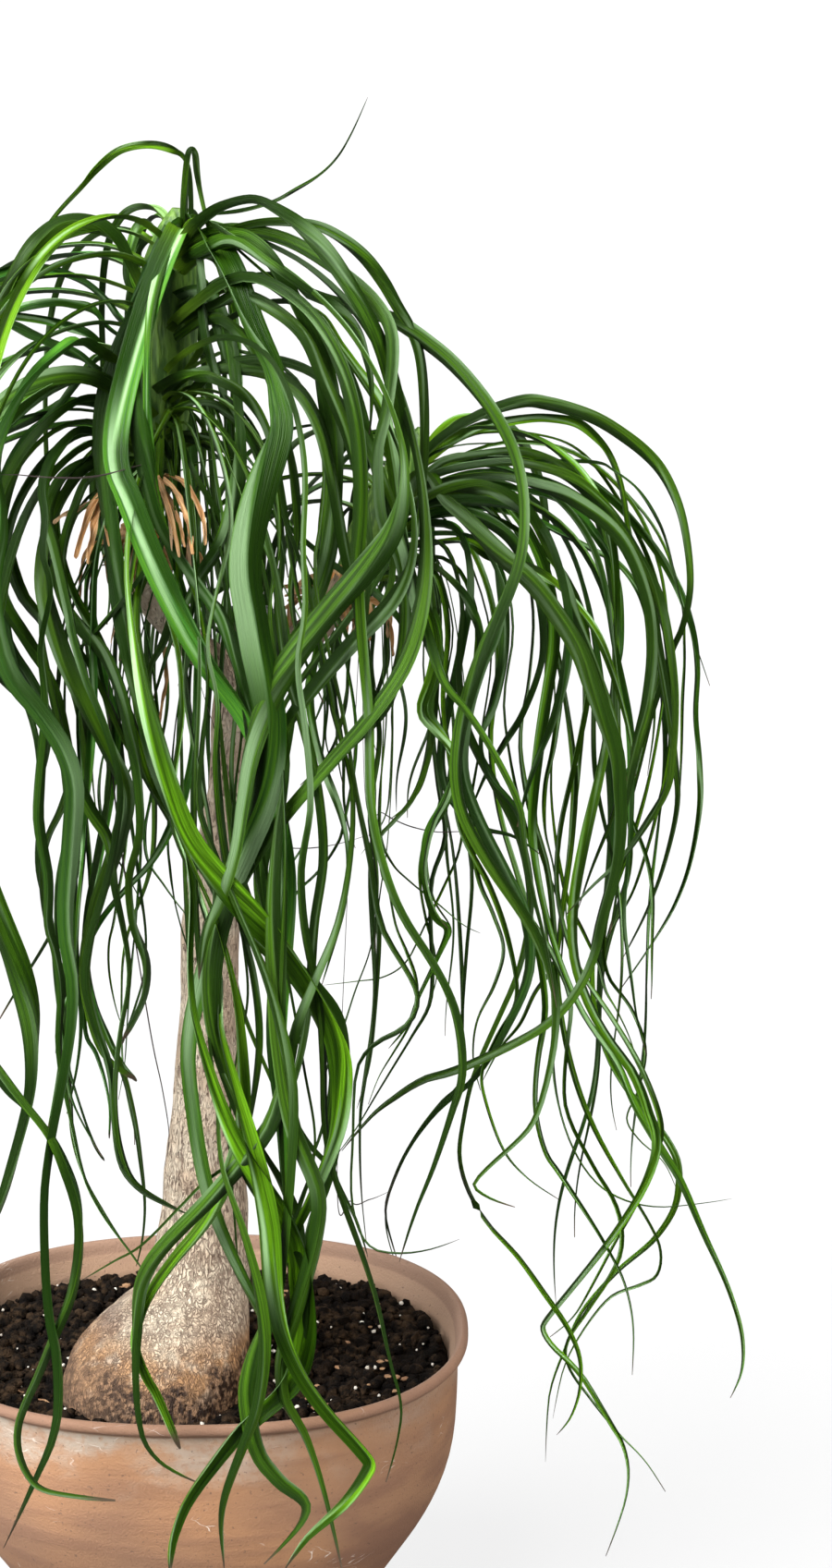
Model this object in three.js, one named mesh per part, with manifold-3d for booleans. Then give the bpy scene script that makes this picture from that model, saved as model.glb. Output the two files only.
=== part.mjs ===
// A ponytail palm in an oval terracotta bowl: a swollen foot, a slim trunk that was cut and sealed, and two
// branches that each carry a head of long, arching, curling leaves over a skirt of dry ones.
// Millimetres, +Z up. The origin is the middle of the bowl's underside.
import * as THREE from "three";
import { mergeVertices } from "three/addons/utils/BufferGeometryUtils.js";
import Module from "manifold-3d";

const wasm = await Module();
wasm.setup();

// Driving dimensions.
const fit = 0.3; // gap between pieces that touch
const holes = { soil: 0.4, dry: 0.7 }; // how much wider than the wood the holes round it are

const pot = {
  halfWidth: 171,
  halfDepth: 147,
  height: 229,
  squareness: 2.8, // power of the oval's outline: 2 is an ellipse, more is squarer
  floor: 12,
  sides: 32,
  drainHoles: 3,
  drainRadius: 6,
  drainCircle: 38,
  drainSides: 14,
};

// The bowl's section, as shares of its full half width and heights: up the outside and over the lip, then
// down inside.
const potOutside = [
  [0.43, 0], [0.46, 4], [0.543, 23], [0.667, 56], [0.777, 82], [0.87, 110], [0.943, 143], [0.961, 197],
  [0.985, 205], [1, 216], [0.99, 227], [0.968, 229],
];
const potInside = [
  [0.942, 226], [0.915, 203], [0.886, 143], [0.8, 103], [0.71, 78], [0.555, 46], [0.365, 12],
];

const soil = { top: 205, levels: [46, 78, 103, 143, 185], edgeDrop: 4, crumb: 3.4, rings: 7, seed: 4241 };

// Rings of the foot and trunk: middle x, y, height, radius.
const trunkRings = [
  [-25, -50, 178, 40], [-26, -50, 190, 52], [-25, -50, 204, 57], [-24, -48, 216, 57], [-20, -42, 233, 54],
  [-10, -34, 251, 44], [1, -25, 269, 33.5], [4, -20, 289, 29.5], [6, -17, 311, 27.5], [7, -14, 351, 24.5],
  [9, -12, 393, 21], [11, -10, 450, 18], [13, -8, 501, 18.5], [20, -6, 542, 16.5], [27, -4, 582, 15.5],
  [32, -2, 622, 18], [36, 0, 661, 17.5], [38, 0, 685, 14],
];
const trunk = { sides: 14, lump: 0.035, seed: 977 };
const seal = { thickness: 5, overhang: 0.8, bevel: 1 };

// The two branches as points and radii, each from inside the trunk to where its head begins.
const leftBranch = [
  [31, -5, 636, 12], [21, -10, 655, 11], [3, -22, 676, 10], [-16, -32, 698, 9.5], [-23, -37, 721, 9.5],
  [-21, -38, 748, 10.5],
];
const rightBranch = [
  [37, 0, 640, 12], [52, 5, 658, 11], [72, 14, 671, 10.5], [87, 25, 686, 10], [97, 32, 701, 10.5],
];

// The green stem of each head, on from its branch.
const leftStem = [
  [-18, -38, 785, 19], [-11, -38, 835, 21], [-4, -38, 885, 18], [1, -38, 915, 12], [3, -38, 930, 4],
];
const rightStem = [
  [106, 34, 718, 14], [118, 35, 742, 15], [130, 35, 766, 12], [137, 35, 782, 8], [142, 35, 792, 4],
];
const stemSides = 9;
const branchSides = 12;

// Dry leaves: a ring round the branch under each head, and strips that hang from it.
const dry = {
  wall: 3,
  ringLength: 14,
  sides: 12,
  strips: 11,
  width: 6,
  thin: 0.7, // narrowest and widest strips, as shares of the width
  broad: 1.2,
  least: 34,
  most: 60,
  level: [0.25, 0.75], // where on the ring a strip grows
  slope: [0.1, 0.45], // how it starts out, and how it hangs, in radians
  hang: -1.5,
  seeds: [311, 328],
};

// The sheet on which the leaves' routes are drawn stands square to the line of sight. Routes are in steps of
// this sheet, right and down from its corner, and each point then moves along the line of sight to its own
// depth.
const sheet = { step: 0.6, foot: [221, 1785], middle: [450, 848.5], pitch: 15, distance: 2200 };

// Where each head's leaves start on the sheet: the lowest and the highest place of its stem.
const leftRoots = { low: [155, 545], high: [192, 240], depth: -38 };
const rightRoots = { low: [392, 612], high: [446, 482], depth: 35 };

// Leaf routes: width in mm, depth in mm at which the leaf hangs (negative is in front), then the route.
const leftRoutes = [
  [14, -100, 185, 245, 150, 320, 122, 400, 110, 480, 116, 555, 128, 640, 138, 700, 150, 760, 164, 820,
    188, 880, 215, 930, 240, 978],
  [14, -135, 195, 240, 160, 330, 130, 440, 125, 500, 140, 542, 165, 605, 196, 668, 224, 717, 260, 767,
    280, 805, 297, 850, 306, 900, 310, 956, 305, 1026, 298, 1123, 305, 1210, 309, 1281, 316, 1333,
    323, 1368],
  [13, -118, 175, 300, 150, 380, 148, 440, 158, 500, 175, 570, 203, 616, 239, 665, 256, 715, 270, 770,
    286, 815, 300, 880],
  [9, -92, 183, 262, 165, 330, 160, 400, 162, 480, 168, 540, 185, 600, 200, 650, 204, 700, 195, 760,
    190, 830],
  [8, -80, 208, 235, 216, 290, 222, 360, 235, 410, 255, 450, 278, 495, 300, 560, 312, 625],
  [16, -165, 222, 240, 235, 270, 250, 300, 272, 355, 295, 400, 300, 440, 298, 470, 283, 520, 270, 577,
    267, 623, 274, 668, 281, 710, 291, 763, 291, 816, 281, 868, 260, 921, 239, 974, 224, 1035,
    210, 1088, 203, 1140, 207, 1193, 217, 1263, 231, 1316, 253, 1368, 281, 1421, 291, 1452],
  [14, -95, 195, 320, 215, 318, 232, 332, 245, 370, 253, 410, 258, 450, 258, 500, 252, 550, 238, 590,
    215, 625, 195, 665, 180, 710, 165, 760],
  [8, -70, 170, 470, 185, 500, 198, 540, 208, 590, 210, 640, 200, 700, 205, 760, 215, 820],
  [10, -100, 185, 460, 200, 490, 215, 520, 240, 570, 255, 630, 262, 700, 255, 770, 250, 840, 255, 900,
    250, 960],
  [17, -105, 215, 275, 245, 265, 265, 262, 290, 280, 310, 310, 330, 350, 345, 390, 355, 430, 362, 480,
    362, 540, 355, 600, 337, 658, 309, 700, 285, 745, 262, 800],
  [14, -140, 205, 262, 250, 250, 310, 262, 365, 295, 405, 330, 423, 370, 418, 440, 408, 490, 412, 560,
    431, 605, 437, 658, 431, 717, 414, 767, 379, 805, 344, 837, 302, 889, 265, 950, 230, 1010],
  [12, -120, 205, 250, 225, 234, 245, 222, 275, 216, 300, 228, 330, 250, 355, 275, 380, 310, 400, 345,
    415, 380, 428, 430, 436, 480, 434, 530, 425, 590, 405, 630, 368, 680, 333, 726, 305, 770,
    295, 830],
  [10, -108, 215, 268, 245, 252, 270, 243, 300, 240, 340, 245, 370, 260, 395, 280, 415, 305, 430, 330,
    445, 355, 455, 385, 459, 430, 459, 490, 455, 540, 448, 590, 440, 630, 434, 690],
  [12, -128, 200, 330, 250, 300, 300, 312, 345, 350, 378, 410, 398, 480, 415, 540, 425, 600, 414, 654,
    368, 710, 326, 760, 302, 805, 285, 865, 262, 930],
  [4, -55, 215, 235, 260, 228, 295, 218, 320, 205, 345, 190, 365, 170, 380, 145, 398, 105],
  [12, -150, 195, 350, 240, 310, 310, 300, 340, 322, 400, 340, 430, 350, 460, 370, 490, 395, 520, 430,
    540, 460, 555, 490, 565, 530, 566, 575, 560, 610, 545, 650, 527, 690, 510, 740, 498, 790, 494, 840,
    503, 885, 530, 935, 560, 980, 585, 1025, 600, 1080, 597, 1140, 583, 1199, 568, 1226, 541, 1252,
    513, 1280, 529, 1296, 557, 1306],
  [9, -115, 200, 400, 240, 350, 300, 325, 345, 340, 365, 370, 385, 400, 412, 440, 425, 500, 432, 560,
    445, 620, 465, 665, 472, 700, 466, 735, 456, 770, 475, 795, 492, 820, 485, 860, 470, 890, 462, 920,
    460, 950, 470, 985, 485, 1005],
  [10, -160, 195, 440, 235, 400, 290, 390, 340, 405, 370, 437, 385, 460, 400, 490, 415, 530, 430, 570,
    440, 600, 450, 650, 465, 700, 480, 740, 505, 770, 532, 812, 560, 870, 566, 910, 575, 960,
    590, 1020, 602, 1090],
  [10, -75, 180, 455, 190, 445, 210, 436, 235, 440, 262, 462, 285, 500, 300, 550, 305, 610, 300, 670,
    292, 730],
  [10, -85, 175, 380, 200, 360, 220, 348, 240, 345, 270, 370, 290, 410, 305, 460, 318, 520, 322, 580,
    315, 640, 325, 700, 350, 760],
  [9, -98, 172, 420, 190, 410, 210, 407, 230, 408, 262, 425, 285, 460, 300, 510, 310, 570, 320, 630,
    335, 690],
  [10, -112, 180, 430, 200, 410, 225, 402, 280, 402, 320, 420, 345, 460, 360, 520, 372, 590, 385, 650,
    395, 720, 400, 790, 405, 850, 400, 905],
  [10, -66, 185, 475, 200, 472, 240, 484, 265, 510, 280, 550, 285, 610, 280, 680, 290, 740],
  [9, -142, 190, 350, 235, 330, 262, 320, 300, 337, 330, 365, 350, 410, 375, 470, 392, 540, 400, 600,
    395, 680, 402, 740, 410, 800, 400, 880, 408, 950, 405, 1030],
  [8, -50, 205, 250, 206, 200, 200, 172, 185, 161, 160, 157, 130, 163, 105, 182, 85, 205, 55, 240,
    25, 290, 0, 350, -20, 420, -35, 500, -30, 580, -40, 660],
  [7, -62, 198, 262, 200, 215, 204, 168, 210, 166, 214, 190, 222, 230, 236, 290, 250, 330],
  [15, -70, 165, 330, 140, 285, 128, 262, 115, 250, 100, 243, 80, 240, 62, 245, 45, 258, 30, 275,
    12, 305, -5, 345, -20, 400, -28, 460, -22, 520, 0, 570, 21, 640, 53, 682, 74, 728, 88, 774,
    95, 833, 88, 886, 81, 956, 56, 1009, 25, 1060, -5, 1110],
  [10, -30, 155, 365, 130, 345, 115, 325, 95, 308, 70, 297, 45, 291, 10, 292, -30, 310, -65, 345,
    -90, 400, -105, 470, -100, 550, -110, 630, -105, 720, -115, 800],
  [9, -48, 150, 375, 118, 355, 100, 335, 80, 329, 55, 327, 15, 336, -25, 360, -55, 400, -75, 460,
    -70, 530, -80, 600, -75, 680, -60, 760, -70, 850],
  [10, -40, 148, 400, 115, 378, 95, 362, 70, 352, 45, 345, 0, 341, -45, 350, -85, 385, -115, 440,
    -130, 510, -125, 590, -140, 670, -130, 760, -120, 850, -130, 940],
  [9, -78, 148, 420, 108, 400, 85, 385, 60, 373, 35, 362, 0, 350, -40, 372, -65, 420, -70, 490,
    -60, 560, -70, 640],
  [11, -186, 148, 400, 105, 378, 85, 368, 65, 380, 40, 402, 20, 430, 5, 465, -5, 510, 0, 570, -10, 640,
    5, 720, 35, 763, 63, 802, 80, 850, 77, 921, 72, 1000, 81, 1070, 74, 1140, 60, 1210, 49, 1281,
    49, 1351, 54, 1421, 63, 1474, 61, 1543, 39, 1600, 4, 1675],
  [10, -95, 150, 400, 110, 385, 90, 405, 70, 430, 50, 455, 30, 475, 8, 515, -8, 580, -5, 650, 10, 700,
    35, 740, 58, 790, 72, 840, 79, 900, 80, 970, 83, 1030, 88, 1100, 84, 1150, 72, 1205],
  [9, -60, 150, 455, 107, 440, 75, 435, 55, 443, 30, 455, 0, 470, -30, 500, -50, 550, -55, 620,
    -45, 690, -60, 760, -55, 840, -65, 920, -55, 1000],
  [9, -35, 150, 480, 107, 462, 70, 460, 25, 470, -15, 490, -50, 530, -75, 590, -85, 660, -80, 740,
    -95, 820, -90, 900, -100, 980],
  [9, -125, 150, 485, 107, 470, 85, 467, 70, 480, 55, 500, 47, 530, 50, 560, 47, 600, 55, 640, 44, 700,
    50, 760, 45, 830, 42, 890, 52, 950, 52, 1000, 60, 1030, 66, 1075, 64, 1140, 77, 1210, 91, 1274,
    112, 1316, 140, 1354, 158, 1380],
  [9, -140, 150, 505, 107, 498, 90, 502, 70, 515, 58, 535, 52, 560, 60, 590, 75, 660, 80, 690, 95, 740,
    115, 790, 130, 850, 125, 910, 115, 960, 100, 1010, 93, 1060, 102, 1105, 119, 1158, 123, 1210,
    130, 1260, 151, 1288, 182, 1305, 210, 1316],
  [10, -110, 148, 515, 100, 515, 80, 550, 68, 590, 68, 640, 85, 675, 110, 705, 128, 745, 140, 790,
    150, 840, 152, 900, 140, 950, 145, 1000, 158, 1040, 155, 1080, 133, 1125],
  [12, -25, 165, 340, 140, 300, 147, 252, 160, 242, 172, 262, 182, 310, 180, 380, 168, 450],
  [11, -88, 148, 450, 100, 430, 60, 450, 20, 500, 0, 560, 0, 640, 32, 696, 53, 728, 67, 767, 81, 851,
    77, 921, 75, 991, 79, 1050, 70, 1120, 62, 1170, 50, 1230],
  [10, -132, 145, 470, 90, 455, 40, 480, 0, 540, -25, 620, -15, 690, 0, 728, 35, 763, 63, 802, 85, 850,
    100, 880, 118, 910, 125, 960, 135, 1010, 140, 1060, 130, 1120, 125, 1180, 128, 1230, 140, 1270,
    160, 1290, 200, 1312],
  [15, -128, 150, 440, 95, 410, 40, 420, -10, 460, -45, 530, -60, 620, -50, 710, -55, 800, -40, 880,
    -20, 950, 0, 1000, 21, 1053, 35, 1105, 36, 1158, 28, 1210, 5, 1290, -20, 1350],
  [10, -190, 148, 470, 95, 480, 50, 520, 20, 580, 0, 660, -20, 760, -40, 860, -55, 960, -45, 1060,
    -25, 1120, 0, 1158, 28, 1196, 53, 1228, 70, 1267, 84, 1309, 86, 1351, 77, 1403, 57, 1450, 39, 1493,
    21, 1536, 20, 1571, 36, 1604, 64, 1616, 125, 1624],
  [12, -155, 185, 420, 215, 440, 240, 500, 250, 570, 235, 640, 225, 700, 235, 760, 232, 830, 238, 900,
    250, 965, 270, 1007, 302, 1035, 337, 1070, 361, 1102, 368, 1140, 367, 1182, 361, 1228, 351, 1281,
    333, 1333, 326, 1372],
  [13, -190, 172, 450, 172, 520, 155, 600, 148, 680, 163, 760, 183, 830, 198, 900, 207, 965, 205, 1030,
    208, 1090, 224, 1151, 242, 1203, 267, 1253, 298, 1298, 316, 1333, 326, 1368, 330, 1421, 326, 1463,
    311, 1500, 264, 1543, 229, 1586, 200, 1629, 186, 1671, 184, 1705],
  [12, -158, 190, 440, 225, 450, 262, 500, 285, 570, 300, 640, 310, 720, 330, 790, 345, 860, 350, 930,
    340, 1000, 335, 1070, 325, 1140, 305, 1200, 267, 1246, 224, 1277, 196, 1305, 154, 1347, 123, 1365,
    88, 1386],
  [9, -184, 195, 420, 240, 425, 280, 470, 300, 540, 325, 610, 345, 690, 360, 770, 380, 850, 378, 930,
    365, 1000, 345, 1050, 320, 1110, 308, 1160, 290, 1220, 246, 1277, 217, 1309, 189, 1337, 165, 1365,
    151, 1396, 147, 1442, 146, 1491, 154, 1554, 179, 1586, 215, 1604],
  [10, -168, 205, 330, 265, 300, 325, 330, 365, 390, 385, 460, 390, 540, 385, 620, 390, 700, 398, 780,
    400, 860, 410, 920, 432, 985, 470, 1048, 493, 1100, 500, 1161, 488, 1207, 469, 1264, 449, 1313,
    432, 1365],
  [6, -150, 195, 400, 250, 380, 310, 400, 345, 460, 350, 540, 340, 620, 355, 700, 372, 780, 385, 860,
    400, 930, 412, 1000, 440, 1050, 452, 1080, 440, 1110, 405, 1130, 385, 1160, 382, 1230, 380, 1290,
    388, 1330, 405, 1352, 438, 1356, 469, 1351, 497, 1341],
  [10, -180, 195, 380, 245, 365, 290, 385, 318, 440, 330, 510, 328, 590, 330, 660, 322, 720, 330, 790,
    335, 870, 325, 940, 330, 1010, 345, 1080, 350, 1150, 352, 1220, 364, 1279, 389, 1350, 407, 1407,
    421, 1471, 434, 1521, 429, 1564, 418, 1604],
  [10, -192, 178, 480, 190, 540, 195, 600, 215, 660, 225, 730, 220, 800, 215, 870, 235, 930, 260, 990,
    285, 1050, 303, 1110, 315, 1180, 314, 1260, 309, 1330, 300, 1400, 285, 1440, 272, 1480, 268, 1518,
    279, 1571, 304, 1604, 330, 1627, 321, 1654, 286, 1693],
  [10, -196, 168, 490, 162, 560, 175, 640, 192, 700, 198, 770, 190, 830, 187, 890, 205, 940, 225, 1000,
    238, 1060, 238, 1110, 250, 1160, 264, 1210, 280, 1270, 292, 1330, 297, 1390, 307, 1443, 329, 1493,
    361, 1536, 396, 1575, 398, 1593, 371, 1629, 332, 1664, 307, 1700],
  [9, -188, 200, 420, 250, 440, 292, 500, 303, 580, 292, 660, 300, 740, 310, 820, 300, 900, 295, 980,
    298, 1060, 304, 1140, 318, 1220, 345, 1290, 340, 1350, 320, 1420, 305, 1470, 307, 1514, 329, 1554,
    350, 1614, 371, 1700],
  [8, -195, 190, 450, 205, 520, 212, 600, 205, 680, 200, 750, 215, 830, 228, 900, 232, 980, 224, 1050,
    226, 1120, 235, 1190, 240, 1260, 262, 1330, 280, 1400, 286, 1460, 279, 1520, 264, 1564, 245, 1614,
    239, 1650, 243, 1700],
  [9, -178, 160, 530, 146, 600, 138, 680, 158, 770, 178, 860, 205, 930, 235, 1000, 255, 1080,
    262, 1150, 262, 1220, 245, 1280, 222, 1325, 185, 1370, 158, 1412, 148, 1455, 160, 1490, 171, 1511,
    195, 1568],
  [9, -118, 182, 500, 215, 555, 240, 620, 250, 700, 262, 780, 255, 850, 250, 930, 262, 1010, 268, 1080,
    255, 1150, 248, 1220, 252, 1290, 258, 1370],
  [13, -108, 148, 500, 95, 505, 58, 560, 48, 630, 65, 700, 90, 760, 115, 810, 136, 860, 125, 920,
    105, 980, 92, 1040, 95, 1090, 112, 1140, 146, 1167],
  [11, -98, 146, 480, 90, 470, 40, 510, 10, 570, 5, 650, 20, 730, 40, 800, 45, 870, 42, 940, 55, 1000,
    60, 1060, 68, 1120, 78, 1190, 110, 1252],
];

const rightRoutes = [
  [14, 10, 440, 520, 470, 480, 520, 450, 565, 435, 590, 436, 620, 443, 650, 455, 680, 475, 700, 492,
    715, 510, 728, 535, 738, 565, 745, 610, 745, 646, 737, 680, 726, 705, 709, 758, 691, 810, 674, 845,
    660, 890, 640, 940, 625, 985],
  [10, 35, 440, 525, 460, 495, 490, 478, 520, 462, 570, 452, 600, 452, 625, 458, 645, 475, 660, 495,
    670, 520, 675, 545, 680, 580, 690, 610, 700, 650, 706, 720, 708, 780, 700, 840],
  [10, 0, 445, 525, 480, 500, 520, 492, 560, 488, 590, 495, 620, 512, 655, 550, 680, 590, 700, 640,
    712, 700, 722, 760, 730, 820, 733, 870, 720, 930, 700, 985, 672, 1040],
  [11, -20, 447, 530, 480, 510, 540, 500, 580, 505, 620, 520, 650, 545, 672, 570, 690, 600, 705, 630,
    715, 660, 725, 710, 730, 760, 727, 820, 720, 855, 700, 890, 672, 930, 640, 960, 612, 990],
  [11, -35, 447, 535, 480, 520, 530, 515, 580, 525, 620, 540, 670, 580, 698, 640, 706, 700, 700, 760,
    690, 800, 680, 850, 672, 900, 668, 960, 660, 1010],
  [11, -50, 447, 545, 485, 530, 520, 527, 545, 535, 570, 555, 590, 590, 605, 620, 620, 660, 640, 710,
    658, 760, 670, 800, 678, 845],
  [14, -90, 440, 540, 450, 520, 465, 515, 480, 540, 505, 565, 540, 600, 575, 628, 607, 670, 628, 705,
    640, 740, 652, 775, 665, 817, 668, 852, 670, 898, 665, 944, 652, 993, 640, 1040, 618, 1080,
    590, 1108, 552, 1130, 495, 1157, 457, 1169, 423, 1191, 400, 1210, 370, 1245],
  [9, -38, 440, 592, 500, 585, 530, 600, 560, 610, 590, 625, 615, 645, 645, 685, 665, 735, 680, 790,
    688, 840],
  [9, -62, 440, 555, 480, 543, 545, 545, 580, 565, 600, 600, 612, 650, 614, 700, 608, 745, 597, 785,
    582, 820, 568, 860, 560, 895],
  [8, -55, 440, 580, 500, 578, 530, 595, 543, 640, 546, 700, 534, 760, 520, 800, 530, 840, 560, 880,
    570, 930, 585, 1000],
  [10, -66, 442, 565, 480, 552, 505, 560, 525, 590, 540, 620, 545, 650, 535, 690, 520, 720, 505, 770,
    500, 830, 515, 880, 545, 940, 568, 990, 572, 1050, 548, 1110, 514, 1165, 476, 1199, 446, 1237,
    427, 1275, 417, 1313, 430, 1363],
  [8, -40, 440, 572, 480, 565, 500, 580, 508, 610, 508, 650, 500, 690, 490, 740, 480, 790, 478, 830,
    490, 868, 520, 895, 555, 905, 585, 925],
  [9, 22, 445, 545, 500, 525, 560, 530, 600, 540, 625, 555, 645, 580, 660, 605, 670, 640, 672, 700,
    665, 740, 662, 775],
  [9, 40, 445, 555, 520, 550, 570, 560, 608, 578, 640, 595, 670, 612, 695, 650, 706, 710, 700, 770,
    684, 830],
  [4, 18, 448, 515, 500, 503, 560, 500, 640, 500, 665, 510, 690, 530, 710, 560, 722, 590, 735, 645,
    750, 690, 768, 742],
  [10, -15, 442, 565, 500, 555, 545, 575, 570, 610, 583, 650, 587, 700, 580, 735, 563, 775, 545, 805,
    525, 840, 510, 875],
  [11, 52, 448, 520, 520, 495, 590, 500, 650, 530, 695, 575, 728, 625, 747, 677, 754, 723, 752, 775,
    756, 828, 757, 874, 747, 933, 730, 979, 705, 1021, 672, 1070],
  [8, -74, 436, 605, 465, 610, 490, 630, 508, 655, 520, 690, 512, 735, 498, 790],
  [8, -82, 430, 625, 455, 645, 474, 680, 473, 725, 462, 768, 478, 798, 492, 830, 480, 870, 463, 905,
    460, 950, 470, 990, 484, 1006, 473, 1035, 452, 1080, 440, 1110, 420, 1135],
  [11, -10, 450, 530, 510, 520, 560, 560, 590, 620, 600, 690, 590, 760, 580, 830, 575, 900, 585, 970,
    605, 1040, 632, 1100, 666, 1149, 686, 1195, 716, 1245, 737, 1279, 762, 1336, 785, 1386, 800, 1431,
    804, 1462, 801, 1488, 790, 1513],
  [5, 20, 448, 560, 500, 560, 540, 610, 555, 680, 545, 760, 555, 840, 575, 920, 590, 1000, 598, 1080,
    598, 1150, 605, 1200, 621, 1245, 644, 1279, 674, 1298, 712, 1306, 760, 1302, 792, 1297],
  [9, -32, 444, 570, 495, 575, 528, 640, 538, 720, 530, 800, 540, 880, 560, 950, 580, 1020, 590, 1090,
    582, 1150, 580, 1200, 590, 1245, 606, 1271, 636, 1317, 659, 1355, 676, 1390, 685, 1435, 684, 1488],
  [11, 42, 448, 520, 530, 490, 610, 510, 665, 560, 700, 630, 713, 710, 700, 790, 680, 870, 660, 950,
    642, 1020, 642, 1090, 660, 1150, 690, 1195, 715, 1225, 732, 1255, 734, 1285, 727, 1313, 705, 1344,
    674, 1370, 644, 1401, 625, 1427, 609, 1465, 594, 1511, 590, 1582],
  [11, -22, 448, 540, 520, 530, 590, 555, 640, 610, 665, 690, 660, 770, 645, 850, 630, 920, 620, 990,
    625, 1050, 650, 1110, 685, 1160, 702, 1205, 710, 1240, 695, 1285, 663, 1336, 628, 1382, 594, 1424,
    587, 1440, 600, 1460, 628, 1488, 659, 1538, 674, 1564, 680, 1595, 674, 1633, 655, 1684],
  [10, -55, 440, 585, 480, 590, 500, 650, 495, 720, 505, 790, 535, 850, 563, 910, 573, 980, 560, 1050,
    535, 1110, 512, 1165, 501, 1214, 497, 1252, 507, 1290, 529, 1325, 560, 1359, 590, 1401, 613, 1435,
    627, 1469, 627, 1504, 617, 1534, 602, 1553],
  [8, 4, 436, 600, 490, 610, 515, 670, 510, 750, 500, 820, 515, 890, 550, 960, 590, 1020, 616, 1080,
    612, 1140, 612, 1200, 640, 1260, 668, 1310, 670, 1360, 640, 1412, 614, 1452, 616, 1480, 636, 1510,
    667, 1549, 697, 1580, 720, 1614],
  [7, -76, 434, 610, 470, 620, 485, 680, 480, 760, 490, 840, 500, 900, 530, 960, 550, 1020, 558, 1080,
    538, 1120, 521, 1160, 526, 1195, 545, 1245, 571, 1275, 604, 1298],
  [9, 62, 450, 515, 540, 480, 620, 490, 680, 540, 712, 610, 722, 690, 715, 770, 700, 850, 680, 920,
    657, 990, 656, 1050, 682, 1090, 698, 1135, 690, 1180, 678, 1210, 692, 1234, 718, 1258, 733, 1290],
  [8, 12, 446, 550, 530, 560, 590, 600, 628, 660, 636, 740, 622, 820, 605, 900, 603, 970, 622, 1040,
    660, 1100, 690, 1150, 711, 1200, 715, 1232, 702, 1265, 690, 1300, 665, 1345, 640, 1392, 620, 1425,
    595, 1447],
  [9, 32, 448, 545, 505, 540, 553, 580, 576, 650, 573, 730, 562, 800, 572, 870, 592, 940, 600, 1010,
    606, 1090, 620, 1160, 642, 1220, 675, 1280, 700, 1320, 714, 1352, 710, 1380, 688, 1392, 660, 1404,
    632, 1438, 610, 1480, 598, 1535],
  [6, -70, 425, 590, 458, 610, 470, 680, 470, 760, 462, 820, 445, 865, 425, 890, 408, 912, 405, 960,
    410, 1010, 407, 1080, 400, 1150, 386, 1200],
];

// Leaves on the sides that the sheet doesn't show: how many, and the headings between which they start, in
// degrees.
const leftWild = { leaves: 18, from: 112, to: 240, seed: 55881 };
const rightWild = { leaves: 19, from: -72, to: 168, seed: 31981 };
const wild = {
  least: 430,
  most: 800,
  narrow: 8,
  wide: 14,
  lowest: 0.12, // shares of the stem's length between which they grow
  highest: 0.88,
  goldenTurn: 0.618,
  stray: 0.12,
  flat: 8, // slopes in degrees: at the start, low and high on the stem, and when they hang
  rise: 26,
  droop: -84,
  arch: 0.42,
  curl: 1.5,
  swing: 17,
};

// The surface between the two heads: left of it in front, right of it behind.
const divide = { reach: 110, middle: 30, width: 70, gap: 8 };
const leafClear = 13; // between a leaf's middle and the wood or the bowl
const branchSwell = 1.35;
const dryClear = 46; // radius round a branch that the dry leaves fill
const rimReach = { drawn: 90, wild: 190 }; // height above the bowl over which leaves draw out past its rim
const sway = 8; // how far a leaf wanders in depth
const settleRounds = 4;
const samples = 48; // points along every leaf's route
const rooted = 3; // the first of them, which stay in the stem's own crown
const segments = { long: 10, short: 7, wild: 7, dry: 3 }; // lengths of blade along a leaf
const longRoute = 14; // points of a route that counts as long
const blade = {
  keel: 1.5,
  tipKeel: 0.8,
  wideFrom: 11, // blades from this width on are drawn wider still, up to wideMore over wideStep
  wideStep: 3,
  wideMore: 1.3,
  baseShare: 0.6, // width at the stem, and how soon it is full
  fullAt: 0.12,
  tipShare: 0.13,
  taper: 1.8,
  facing: 0.8,
  twist: 0.45,
};

// Colours, roughness and metalness.
const finish = {
  terracotta: { color: 0xb98468, roughness: 0.85, metalness: 0 },
  soil: { color: 0x2b211b, roughness: 0.95, metalness: 0 },
  bark: { color: 0xb9a084, roughness: 0.88, metalness: 0 },
  seal: { color: 0x4a4a48, roughness: 0.7, metalness: 0 },
  leaf: { color: 0x2f6b26, roughness: 0.42, metalness: 0 },
  dryLeaf: { color: 0xb07a4c, roughness: 0.9, metalness: 0 },
};

// Small helpers.

function vector([x, y, z]) {
  return new THREE.Vector3(x, y, z);
}

// A repeatable source of numbers from 0 to 1.
function seeded(seed) {
  let state = seed % 2147483647;
  const next = () => {
    state = (state * 48271) % 2147483647;
    return state / 2147483647;
  };
  next();
  next();
  return next;
}

function mix(low, high, share) {
  return low + (high - low) * share;
}

function ease(share) {
  const held = Math.min(1, Math.max(0, share));
  return held * held * (3 - 2 * held);
}

// The part of a direction that is square to an axis.
function square(direction, axis) {
  return direction.clone().addScaledVector(axis, -direction.dot(axis)).normalize();
}

function named(name, geometry, look) {
  const mesh = new THREE.Mesh(geometry, new THREE.MeshStandardMaterial(look));
  mesh.name = name;
  return mesh;
}

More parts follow.
